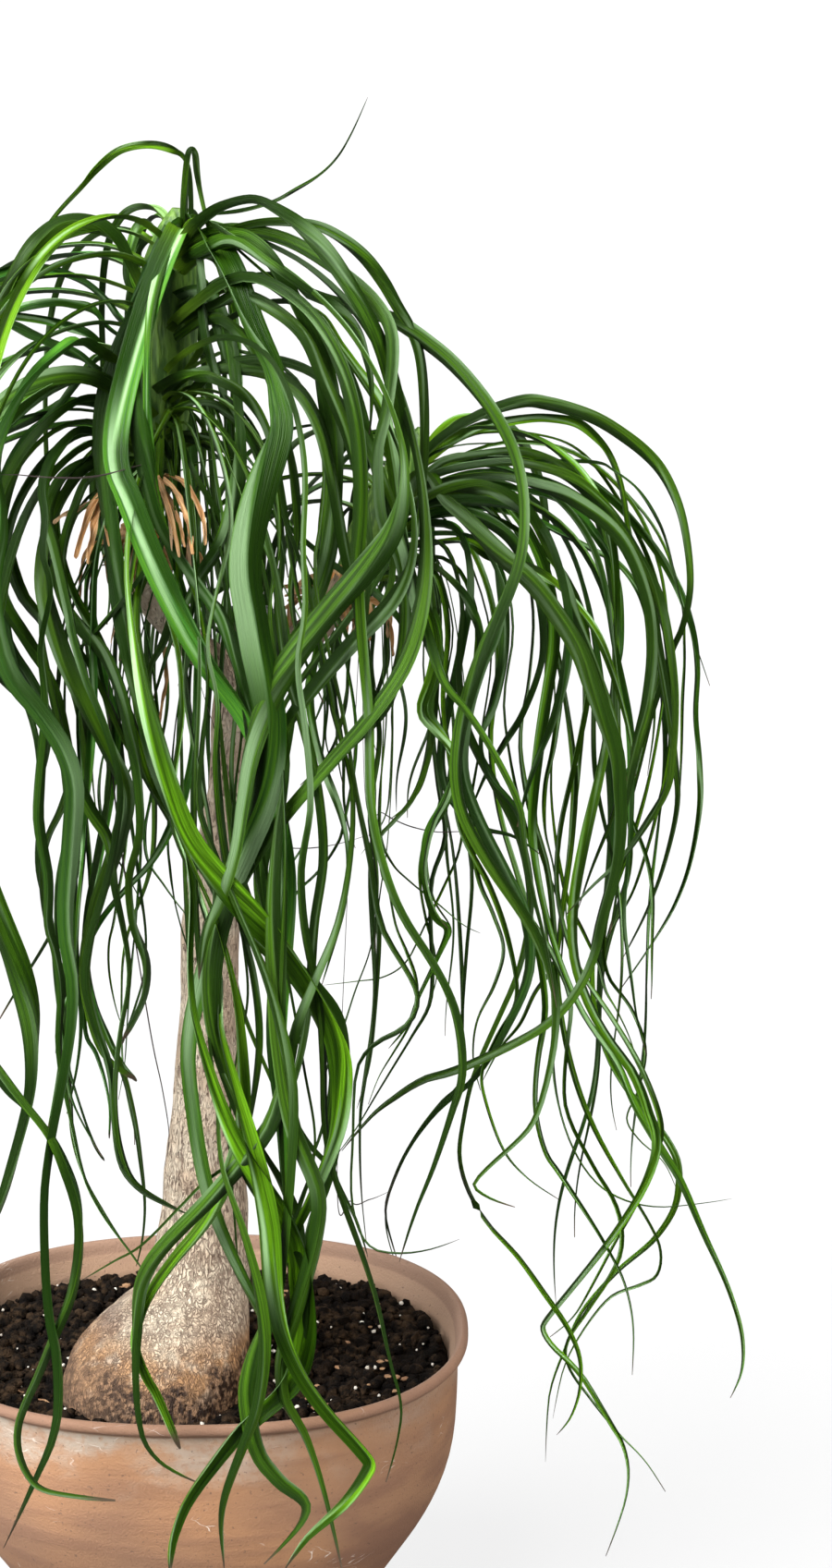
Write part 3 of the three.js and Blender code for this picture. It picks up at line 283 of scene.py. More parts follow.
pot = {
    "halfWidth": 171,
    "halfDepth": 147,
    "height": 229,
    "squareness": 2.8,
    "drainHoles": 3,
    "drainRadius": 6,
    "drainCircle": 38,
}
trunkRings = [
    [-25, -50, 178, 40], [-26, -50, 190, 52], [-25, -50, 204, 57], [-24, -48, 216, 57], [-20, -42, 233, 54],
    [-10, -34, 251, 44], [1, -25, 269, 33.5], [4, -20, 289, 29.5], [6, -17, 311, 27.5], [7, -14, 351, 24.5],
    [9, -12, 393, 21], [11, -10, 450, 18], [13, -8, 501, 18.5], [20, -6, 542, 16.5], [27, -4, 582, 15.5],
    [32, -2, 622, 18], [36, 0, 661, 17.5], [38, 0, 685, 14],
]
leftBranch = [
    [31, -5, 636, 12], [21, -10, 655, 11], [3, -22, 676, 10], [-16, -32, 698, 9.5], [-23, -37, 721, 9.5],
    [-21, -38, 748, 10.5],
]
rightBranch = [
    [37, 0, 640, 12], [52, 5, 658, 11], [72, 14, 671, 10.5], [87, 25, 686, 10], [97, 32, 701, 10.5],
]
leftStem = [[-18, -38, 785, 19], [-11, -38, 835, 21], [-4, -38, 885, 18], [1, -38, 915, 12], [3, -38, 930, 4]]
rightStem = [[106, 34, 718, 14], [118, 35, 742, 15], [130, 35, 766, 12], [137, 35, 782, 8], [142, 35, 792, 4]]

# The leaves' routes stand on a sheet square to the line of sight, and each point moves along that line
# to its own depth. A route is: width, depth of the hanging leaf, then steps right and down on the sheet.
sheet = {"step": 0.6, "foot": (221, 1785), "middle": (450, 848.5), "pitch": 15, "distance": 2200}
leftRoots = {"low": (155, 545), "high": (192, 240), "depth": -38}
rightRoots = {"low": (392, 612), "high": (446, 482), "depth": 35}
leftRoutes = [
    [14, -100, 185, 245, 150, 320, 122, 400, 110, 480, 116, 555, 128, 640, 138, 700, 150, 760, 164, 820,
      188, 880, 215, 930, 240, 978],
    [14, -135, 195, 240, 160, 330, 130, 440, 125, 500, 140, 542, 165, 605, 196, 668, 224, 717, 260, 767,
      280, 805, 297, 850, 306, 900, 310, 956, 305, 1026, 298, 1123, 305, 1210, 309, 1281, 316, 1333,
      323, 1368],
    [13, -118, 175, 300, 150, 380, 148, 440, 158, 500, 175, 570, 203, 616, 239, 665, 256, 715, 270, 770,
      286, 815, 300, 880],
    [9, -92, 183, 262, 165, 330, 160, 400, 162, 480, 168, 540, 185, 600, 200, 650, 204, 700, 195, 760,
      190, 830],
    [8, -80, 208, 235, 216, 290, 222, 360, 235, 410, 255, 450, 278, 495, 300, 560, 312, 625],
    [16, -165, 222, 240, 235, 270, 250, 300, 272, 355, 295, 400, 300, 440, 298, 470, 283, 520, 270, 577,
      267, 623, 274, 668, 281, 710, 291, 763, 291, 816, 281, 868, 260, 921, 239, 974, 224, 1035,
      210, 1088, 203, 1140, 207, 1193, 217, 1263, 231, 1316, 253, 1368, 281, 1421, 291, 1452],
    [14, -95, 195, 320, 215, 318, 232, 332, 245, 370, 253, 410, 258, 450, 258, 500, 252, 550, 238, 590,
      215, 625, 195, 665, 180, 710, 165, 760],
    [8, -70, 170, 470, 185, 500, 198, 540, 208, 590, 210, 640, 200, 700, 205, 760, 215, 820],
    [10, -100, 185, 460, 200, 490, 215, 520, 240, 570, 255, 630, 262, 700, 255, 770, 250, 840, 255, 900,
      250, 960],
    [17, -105, 215, 275, 245, 265, 265, 262, 290, 280, 310, 310, 330, 350, 345, 390, 355, 430, 362, 480,
      362, 540, 355, 600, 337, 658, 309, 700, 285, 745, 262, 800],
    [14, -140, 205, 262, 250, 250, 310, 262, 365, 295, 405, 330, 423, 370, 418, 440, 408, 490, 412, 560,
      431, 605, 437, 658, 431, 717, 414, 767, 379, 805, 344, 837, 302, 889, 265, 950, 230, 1010],
    [12, -120, 205, 250, 225, 234, 245, 222, 275, 216, 300, 228, 330, 250, 355, 275, 380, 310, 400, 345,
      415, 380, 428, 430, 436, 480, 434, 530, 425, 590, 405, 630, 368, 680, 333, 726, 305, 770,
      295, 830],
    [10, -108, 215, 268, 245, 252, 270, 243, 300, 240, 340, 245, 370, 260, 395, 280, 415, 305, 430, 330,
      445, 355, 455, 385, 459, 430, 459, 490, 455, 540, 448, 590, 440, 630, 434, 690],
    [12, -128, 200, 330, 250, 300, 300, 312, 345, 350, 378, 410, 398, 480, 415, 540, 425, 600, 414, 654,
      368, 710, 326, 760, 302, 805, 285, 865, 262, 930],
    [4, -55, 215, 235, 260, 228, 295, 218, 320, 205, 345, 190, 365, 170, 380, 145, 398, 105],
    [12, -150, 195, 350, 240, 310, 310, 300, 340, 322, 400, 340, 430, 350, 460, 370, 490, 395, 520, 430,
      540, 460, 555, 490, 565, 530, 566, 575, 560, 610, 545, 650, 527, 690, 510, 740, 498, 790, 494, 840,
      503, 885, 530, 935, 560, 980, 585, 1025, 600, 1080, 597, 1140, 583, 1199, 568, 1226, 541, 1252,
      513, 1280, 529, 1296, 557, 1306],
    [9, -115, 200, 400, 240, 350, 300, 325, 345, 340, 365, 370, 385, 400, 412, 440, 425, 500, 432, 560,
      445, 620, 465, 665, 472, 700, 466, 735, 456, 770, 475, 795, 492, 820, 485, 860, 470, 890, 462, 920,
      460, 950, 470, 985, 485, 1005],
    [10, -160, 195, 440, 235, 400, 290, 390, 340, 405, 370, 437, 385, 460, 400, 490, 415, 530, 430, 570,
      440, 600, 450, 650, 465, 700, 480, 740, 505, 770, 532, 812, 560, 870, 566, 910, 575, 960,
      590, 1020, 602, 1090],
    [10, -75, 180, 455, 190, 445, 210, 436, 235, 440, 262, 462, 285, 500, 300, 550, 305, 610, 300, 670,
      292, 730],
    [10, -85, 175, 380, 200, 360, 220, 348, 240, 345, 270, 370, 290, 410, 305, 460, 318, 520, 322, 580,
      315, 640, 325, 700, 350, 760],
    [9, -98, 172, 420, 190, 410, 210, 407, 230, 408, 262, 425, 285, 460, 300, 510, 310, 570, 320, 630,
      335, 690],
    [10, -112, 180, 430, 200, 410, 225, 402, 280, 402, 320, 420, 345, 460, 360, 520, 372, 590, 385, 650,
      395, 720, 400, 790, 405, 850, 400, 905],
    [10, -66, 185, 475, 200, 472, 240, 484, 265, 510, 280, 550, 285, 610, 280, 680, 290, 740],
    [9, -142, 190, 350, 235, 330, 262, 320, 300, 337, 330, 365, 350, 410, 375, 470, 392, 540, 400, 600,
      395, 680, 402, 740, 410, 800, 400, 880, 408, 950, 405, 1030],
    [8, -50, 205, 250, 206, 200, 200, 172, 185, 161, 160, 157, 130, 163, 105, 182, 85, 205, 55, 240,
      25, 290, 0, 350, -20, 420, -35, 500, -30, 580, -40, 660],
    [7, -62, 198, 262, 200, 215, 204, 168, 210, 166, 214, 190, 222, 230, 236, 290, 250, 330],
    [15, -70, 165, 330, 140, 285, 128, 262, 115, 250, 100, 243, 80, 240, 62, 245, 45, 258, 30, 275,
      12, 305, -5, 345, -20, 400, -28, 460, -22, 520, 0, 570, 21, 640, 53, 682, 74, 728, 88, 774,
      95, 833, 88, 886, 81, 956, 56, 1009, 25, 1060, -5, 1110],
    [10, -30, 155, 365, 130, 345, 115, 325, 95, 308, 70, 297, 45, 291, 10, 292, -30, 310, -65, 345,
      -90, 400, -105, 470, -100, 550, -110, 630, -105, 720, -115, 800],
    [9, -48, 150, 375, 118, 355, 100, 335, 80, 329, 55, 327, 15, 336, -25, 360, -55, 400, -75, 460,
      -70, 530, -80, 600, -75, 680, -60, 760, -70, 850],
    [10, -40, 148, 400, 115, 378, 95, 362, 70, 352, 45, 345, 0, 341, -45, 350, -85, 385, -115, 440,
      -130, 510, -125, 590, -140, 670, -130, 760, -120, 850, -130, 940],
    [9, -78, 148, 420, 108, 400, 85, 385, 60, 373, 35, 362, 0, 350, -40, 372, -65, 420, -70, 490,
      -60, 560, -70, 640],
    [11, -186, 148, 400, 105, 378, 85, 368, 65, 380, 40, 402, 20, 430, 5, 465, -5, 510, 0, 570, -10, 640,
      5, 720, 35, 763, 63, 802, 80, 850, 77, 921, 72, 1000, 81, 1070, 74, 1140, 60, 1210, 49, 1281,
      49, 1351, 54, 1421, 63, 1474, 61, 1543, 39, 1600, 4, 1675],
    [10, -95, 150, 400, 110, 385, 90, 405, 70, 430, 50, 455, 30, 475, 8, 515, -8, 580, -5, 650, 10, 700,
      35, 740, 58, 790, 72, 840, 79, 900, 80, 970, 83, 1030, 88, 1100, 84, 1150, 72, 1205],
    [9, -60, 150, 455, 107, 440, 75, 435, 55, 443, 30, 455, 0, 470, -30, 500, -50, 550, -55, 620,
      -45, 690, -60, 760, -55, 840, -65, 920, -55, 1000],
    [9, -35, 150, 480, 107, 462, 70, 460, 25, 470, -15, 490, -50, 530, -75, 590, -85, 660, -80, 740,
      -95, 820, -90, 900, -100, 980],
    [9, -125, 150, 485, 107, 470, 85, 467, 70, 480, 55, 500, 47, 530, 50, 560, 47, 600, 55, 640, 44, 700,
      50, 760, 45, 830, 42, 890, 52, 950, 52, 1000, 60, 1030, 66, 1075, 64, 1140, 77, 1210, 91, 1274,
      112, 1316, 140, 1354, 158, 1380],
    [9, -140, 150, 505, 107, 498, 90, 502, 70, 515, 58, 535, 52, 560, 60, 590, 75, 660, 80, 690, 95, 740,
      115, 790, 130, 850, 125, 910, 115, 960, 100, 1010, 93, 1060, 102, 1105, 119, 1158, 123, 1210,
      130, 1260, 151, 1288, 182, 1305, 210, 1316],
    [10, -110, 148, 515, 100, 515, 80, 550, 68, 590, 68, 640, 85, 675, 110, 705, 128, 745, 140, 790,
      150, 840, 152, 900, 140, 950, 145, 1000, 158, 1040, 155, 1080, 133, 1125],
    [12, -25, 165, 340, 140, 300, 147, 252, 160, 242, 172, 262, 182, 310, 180, 380, 168, 450],
    [11, -88, 148, 450, 100, 430, 60, 450, 20, 500, 0, 560, 0, 640, 32, 696, 53, 728, 67, 767, 81, 851,
      77, 921, 75, 991, 79, 1050, 70, 1120, 62, 1170, 50, 1230],
    [10, -132, 145, 470, 90, 455, 40, 480, 0, 540, -25, 620, -15, 690, 0, 728, 35, 763, 63, 802, 85, 850,
      100, 880, 118, 910, 125, 960, 135, 1010, 140, 1060, 130, 1120, 125, 1180, 128, 1230, 140, 1270,
      160, 1290, 200, 1312],
    [15, -128, 150, 440, 95, 410, 40, 420, -10, 460, -45, 530, -60, 620, -50, 710, -55, 800, -40, 880,
      -20, 950, 0, 1000, 21, 1053, 35, 1105, 36, 1158, 28, 1210, 5, 1290, -20, 1350],
    [10, -190, 148, 470, 95, 480, 50, 520, 20, 580, 0, 660, -20, 760, -40, 860, -55, 960, -45, 1060,
      -25, 1120, 0, 1158, 28, 1196, 53, 1228, 70, 1267, 84, 1309, 86, 1351, 77, 1403, 57, 1450, 39, 1493,
      21, 1536, 20, 1571, 36, 1604, 64, 1616, 125, 1624],
    [12, -155, 185, 420, 215, 440, 240, 500, 250, 570, 235, 640, 225, 700, 235, 760, 232, 830, 238, 900,
      250, 965, 270, 1007, 302, 1035, 337, 1070, 361, 1102, 368, 1140, 367, 1182, 361, 1228, 351, 1281,
      333, 1333, 326, 1372],
    [13, -190, 172, 450, 172, 520, 155, 600, 148, 680, 163, 760, 183, 830, 198, 900, 207, 965, 205, 1030,
      208, 1090, 224, 1151, 242, 1203, 267, 1253, 298, 1298, 316, 1333, 326, 1368, 330, 1421, 326, 1463,
      311, 1500, 264, 1543, 229, 1586, 200, 1629, 186, 1671, 184, 1705],
    [12, -158, 190, 440, 225, 450, 262, 500, 285, 570, 300, 640, 310, 720, 330, 790, 345, 860, 350, 930,
      340, 1000, 335, 1070, 325, 1140, 305, 1200, 267, 1246, 224, 1277, 196, 1305, 154, 1347, 123, 1365,
      88, 1386],
    [9, -184, 195, 420, 240, 425, 280, 470, 300, 540, 325, 610, 345, 690, 360, 770, 380, 850, 378, 930,
      365, 1000, 345, 1050, 320, 1110, 308, 1160, 290, 1220, 246, 1277, 217, 1309, 189, 1337, 165, 1365,
      151, 1396, 147, 1442, 146, 1491, 154, 1554, 179, 1586, 215, 1604],
    [10, -168, 205, 330, 265, 300, 325, 330, 365, 390, 385, 460, 390, 540, 385, 620, 390, 700, 398, 780,
      400, 860, 410, 920, 432, 985, 470, 1048, 493, 1100, 500, 1161, 488, 1207, 469, 1264, 449, 1313,
      432, 1365],
    [6, -150, 195, 400, 250, 380, 310, 400, 345, 460, 350, 540, 340, 620, 355, 700, 372, 780, 385, 860,
      400, 930, 412, 1000, 440, 1050, 452, 1080, 440, 1110, 405, 1130, 385, 1160, 382, 1230, 380, 1290,
      388, 1330, 405, 1352, 438, 1356, 469, 1351, 497, 1341],
    [10, -180, 195, 380, 245, 365, 290, 385, 318, 440, 330, 510, 328, 590, 330, 660, 322, 720, 330, 790,
      335, 870, 325, 940, 330, 1010, 345, 1080, 350, 1150, 352, 1220, 364, 1279, 389, 1350, 407, 1407,
      421, 1471, 434, 1521, 429, 1564, 418, 1604],
    [10, -192, 178, 480, 190, 540, 195, 600, 215, 660, 225, 730, 220, 800, 215, 870, 235, 930, 260, 990,
      285, 1050, 303, 1110, 315, 1180, 314, 1260, 309, 1330, 300, 1400, 285, 1440, 272, 1480, 268, 1518,
      279, 1571, 304, 1604, 330, 1627, 321, 1654, 286, 1693],
    [10, -196, 168, 490, 162, 560, 175, 640, 192, 700, 198, 770, 190, 830, 187, 890, 205, 940, 225, 1000,
      238, 1060, 238, 1110, 250, 1160, 264, 1210, 280, 1270, 292, 1330, 297, 1390, 307, 1443, 329, 1493,
      361, 1536, 396, 1575, 398, 1593, 371, 1629, 332, 1664, 307, 1700],
    [9, -188, 200, 420, 250, 440, 292, 500, 303, 580, 292, 660, 300, 740, 310, 820, 300, 900, 295, 980,
      298, 1060, 304, 1140, 318, 1220, 345, 1290, 340, 1350, 320, 1420, 305, 1470, 307, 1514, 329, 1554,
      350, 1614, 371, 1700],
    [8, -195, 190, 450, 205, 520, 212, 600, 205, 680, 200, 750, 215, 830, 228, 900, 232, 980, 224, 1050,
      226, 1120, 235, 1190, 240, 1260, 262, 1330, 280, 1400, 286, 1460, 279, 1520, 264, 1564, 245, 1614,
      239, 1650, 243, 1700],
    [9, -178, 160, 530, 146, 600, 138, 680, 158, 770, 178, 860, 205, 930, 235, 1000, 255, 1080,
      262, 1150, 262, 1220, 245, 1280, 222, 1325, 185, 1370, 158, 1412, 148, 1455, 160, 1490, 171, 1511,
      195, 1568],
    [9, -118, 182, 500, 215, 555, 240, 620, 250, 700, 262, 780, 255, 850, 250, 930, 262, 1010, 268, 1080,
      255, 1150, 248, 1220, 252, 1290, 258, 1370],
    [13, -108, 148, 500, 95, 505, 58, 560, 48, 630, 65, 700, 90, 760, 115, 810, 136, 860, 125, 920,
      105, 980, 92, 1040, 95, 1090, 112, 1140, 146, 1167],
    [11, -98, 146, 480, 90, 470, 40, 510, 10, 570, 5, 650, 20, 730, 40, 800, 45, 870, 42, 940, 55, 1000,
      60, 1060, 68, 1120, 78, 1190, 110, 1252],
]
rightRoutes = [
    [14, 10, 440, 520, 470, 480, 520, 450, 565, 435, 590, 436, 620, 443, 650, 455, 680, 475, 700, 492,
      715, 510, 728, 535, 738, 565, 745, 610, 745, 646, 737, 680, 726, 705, 709, 758, 691, 810, 674, 845,
      660, 890, 640, 940, 625, 985],
    [10, 35, 440, 525, 460, 495, 490, 478, 520, 462, 570, 452, 600, 452, 625, 458, 645, 475, 660, 495,
      670, 520, 675, 545, 680, 580, 690, 610, 700, 650, 706, 720, 708, 780, 700, 840],
    [10, 0, 445, 525, 480, 500, 520, 492, 560, 488, 590, 495, 620, 512, 655, 550, 680, 590, 700, 640,
      712, 700, 722, 760, 730, 820, 733, 870, 720, 930, 700, 985, 672, 1040],
    [11, -20, 447, 530, 480, 510, 540, 500, 580, 505, 620, 520, 650, 545, 672, 570, 690, 600, 705, 630,
      715, 660, 725, 710, 730, 760, 727, 820, 720, 855, 700, 890, 672, 930, 640, 960, 612, 990],
    [11, -35, 447, 535, 480, 520, 530, 515, 580, 525, 620, 540, 670, 580, 698, 640, 706, 700, 700, 760,
      690, 800, 680, 850, 672, 900, 668, 960, 660, 1010],
    [11, -50, 447, 545, 485, 530, 520, 527, 545, 535, 570, 555, 590, 590, 605, 620, 620, 660, 640, 710,
      658, 760, 670, 800, 678, 845],
    [14, -90, 440, 540, 450, 520, 465, 515, 480, 540, 505, 565, 540, 600, 575, 628, 607, 670, 628, 705,
      640, 740, 652, 775, 665, 817, 668, 852, 670, 898, 665, 944, 652, 993, 640, 1040, 618, 1080,
      590, 1108, 552, 1130, 495, 1157, 457, 1169, 423, 1191, 400, 1210, 370, 1245],
    [9, -38, 440, 592, 500, 585, 530, 600, 560, 610, 590, 625, 615, 645, 645, 685, 665, 735, 680, 790,
      688, 840],
    [9, -62, 440, 555, 480, 543, 545, 545, 580, 565, 600, 600, 612, 650, 614, 700, 608, 745, 597, 785,
      582, 820, 568, 860, 560, 895],
    [8, -55, 440, 580, 500, 578, 530, 595, 543, 640, 546, 700, 534, 760, 520, 800, 530, 840, 560, 880,
      570, 930, 585, 1000],
    [10, -66, 442, 565, 480, 552, 505, 560, 525, 590, 540, 620, 545, 650, 535, 690, 520, 720, 505, 770,
      500, 830, 515, 880, 545, 940, 568, 990, 572, 1050, 548, 1110, 514, 1165, 476, 1199, 446, 1237,
      427, 1275, 417, 1313, 430, 1363],
    [8, -40, 440, 572, 480, 565, 500, 580, 508, 610, 508, 650, 500, 690, 490, 740, 480, 790, 478, 830,
      490, 868, 520, 895, 555, 905, 585, 925],
    [9, 22, 445, 545, 500, 525, 560, 530, 600, 540, 625, 555, 645, 580, 660, 605, 670, 640, 672, 700,
      665, 740, 662, 775],
    [9, 40, 445, 555, 520, 550, 570, 560, 608, 578, 640, 595, 670, 612, 695, 650, 706, 710, 700, 770,
      684, 830],
    [4, 18, 448, 515, 500, 503, 560, 500, 640, 500, 665, 510, 690, 530, 710, 560, 722, 590, 735, 645,
      750, 690, 768, 742],
    [10, -15, 442, 565, 500, 555, 545, 575, 570, 610, 583, 650, 587, 700, 580, 735, 563, 775, 545, 805,
      525, 840, 510, 875],
    [11, 52, 448, 520, 520, 495, 590, 500, 650, 530, 695, 575, 728, 625, 747, 677, 754, 723, 752, 775,
      756, 828, 757, 874, 747, 933, 730, 979, 705, 1021, 672, 1070],
    [8, -74, 436, 605, 465, 610, 490, 630, 508, 655, 520, 690, 512, 735, 498, 790],
    [8, -82, 430, 625, 455, 645, 474, 680, 473, 725, 462, 768, 478, 798, 492, 830, 480, 870, 463, 905,
      460, 950, 470, 990, 484, 1006, 473, 1035, 452, 1080, 440, 1110, 420, 1135],
    [11, -10, 450, 530, 510, 520, 560, 560, 590, 620, 600, 690, 590, 760, 580, 830, 575, 900, 585, 970,
      605, 1040, 632, 1100, 666, 1149, 686, 1195, 716, 1245, 737, 1279, 762, 1336, 785, 1386, 800, 1431,
      804, 1462, 801, 1488, 790, 1513],
    [5, 20, 448, 560, 500, 560, 540, 610, 555, 680, 545, 760, 555, 840, 575, 920, 590, 1000, 598, 1080,
      598, 1150, 605, 1200, 621, 1245, 644, 1279, 674, 1298, 712, 1306, 760, 1302, 792, 1297],
    [9, -32, 444, 570, 495, 575, 528, 640, 538, 720, 530, 800, 540, 880, 560, 950, 580, 1020, 590, 1090,
      582, 1150, 580, 1200, 590, 1245, 606, 1271, 636, 1317, 659, 1355, 676, 1390, 685, 1435, 684, 1488],
    [11, 42, 448, 520, 530, 490, 610, 510, 665, 560, 700, 630, 713, 710, 700, 790, 680, 870, 660, 950,
      642, 1020, 642, 1090, 660, 1150, 690, 1195, 715, 1225, 732, 1255, 734, 1285, 727, 1313, 705, 1344,
      674, 1370, 644, 1401, 625, 1427, 609, 1465, 594, 1511, 590, 1582],
    [11, -22, 448, 540, 520, 530, 590, 555, 640, 610, 665, 690, 660, 770, 645, 850, 630, 920, 620, 990,
      625, 1050, 650, 1110, 685, 1160, 702, 1205, 710, 1240, 695, 1285, 663, 1336, 628, 1382, 594, 1424,
      587, 1440, 600, 1460, 628, 1488, 659, 1538, 674, 1564, 680, 1595, 674, 1633, 655, 1684],
    [10, -55, 440, 585, 480, 590, 500, 650, 495, 720, 505, 790, 535, 850, 563, 910, 573, 980, 560, 1050,
      535, 1110, 512, 1165, 501, 1214, 497, 1252, 507, 1290, 529, 1325, 560, 1359, 590, 1401, 613, 1435,
      627, 1469, 627, 1504, 617, 1534, 602, 1553],
    [8, 4, 436, 600, 490, 610, 515, 670, 510, 750, 500, 820, 515, 890, 550, 960, 590, 1020, 616, 1080,
      612, 1140, 612, 1200, 640, 1260, 668, 1310, 670, 1360, 640, 1412, 614, 1452, 616, 1480, 636, 1510,
      667, 1549, 697, 1580, 720, 1614],
    [7, -76, 434, 610, 470, 620, 485, 680, 480, 760, 490, 840, 500, 900, 530, 960, 550, 1020, 558, 1080,
      538, 1120, 521, 1160, 526, 1195, 545, 1245, 571, 1275, 604, 1298],
    [9, 62, 450, 515, 540, 480, 620, 490, 680, 540, 712, 610, 722, 690, 715, 770, 700, 850, 680, 920,
      657, 990, 656, 1050, 682, 1090, 698, 1135, 690, 1180, 678, 1210, 692, 1234, 718, 1258, 733, 1290],
    [8, 12, 446, 550, 530, 560, 590, 600, 628, 660, 636, 740, 622, 820, 605, 900, 603, 970, 622, 1040,
      660, 1100, 690, 1150, 711, 1200, 715, 1232, 702, 1265, 690, 1300, 665, 1345, 640, 1392, 620, 1425,
      595, 1447],
    [9, 32, 448, 545, 505, 540, 553, 580, 576, 650, 573, 730, 562, 800, 572, 870, 592, 940, 600, 1010,
      606, 1090, 620, 1160, 642, 1220, 675, 1280, 700, 1320, 714, 1352, 710, 1380, 688, 1392, 660, 1404,
      632, 1438, 610, 1480, 598, 1535],
    [6, -70, 425, 590, 458, 610, 470, 680, 470, 760, 462, 820, 445, 865, 425, 890, 408, 912, 405, 960,
      410, 1010, 407, 1080, 400, 1150, 386, 1200],
]
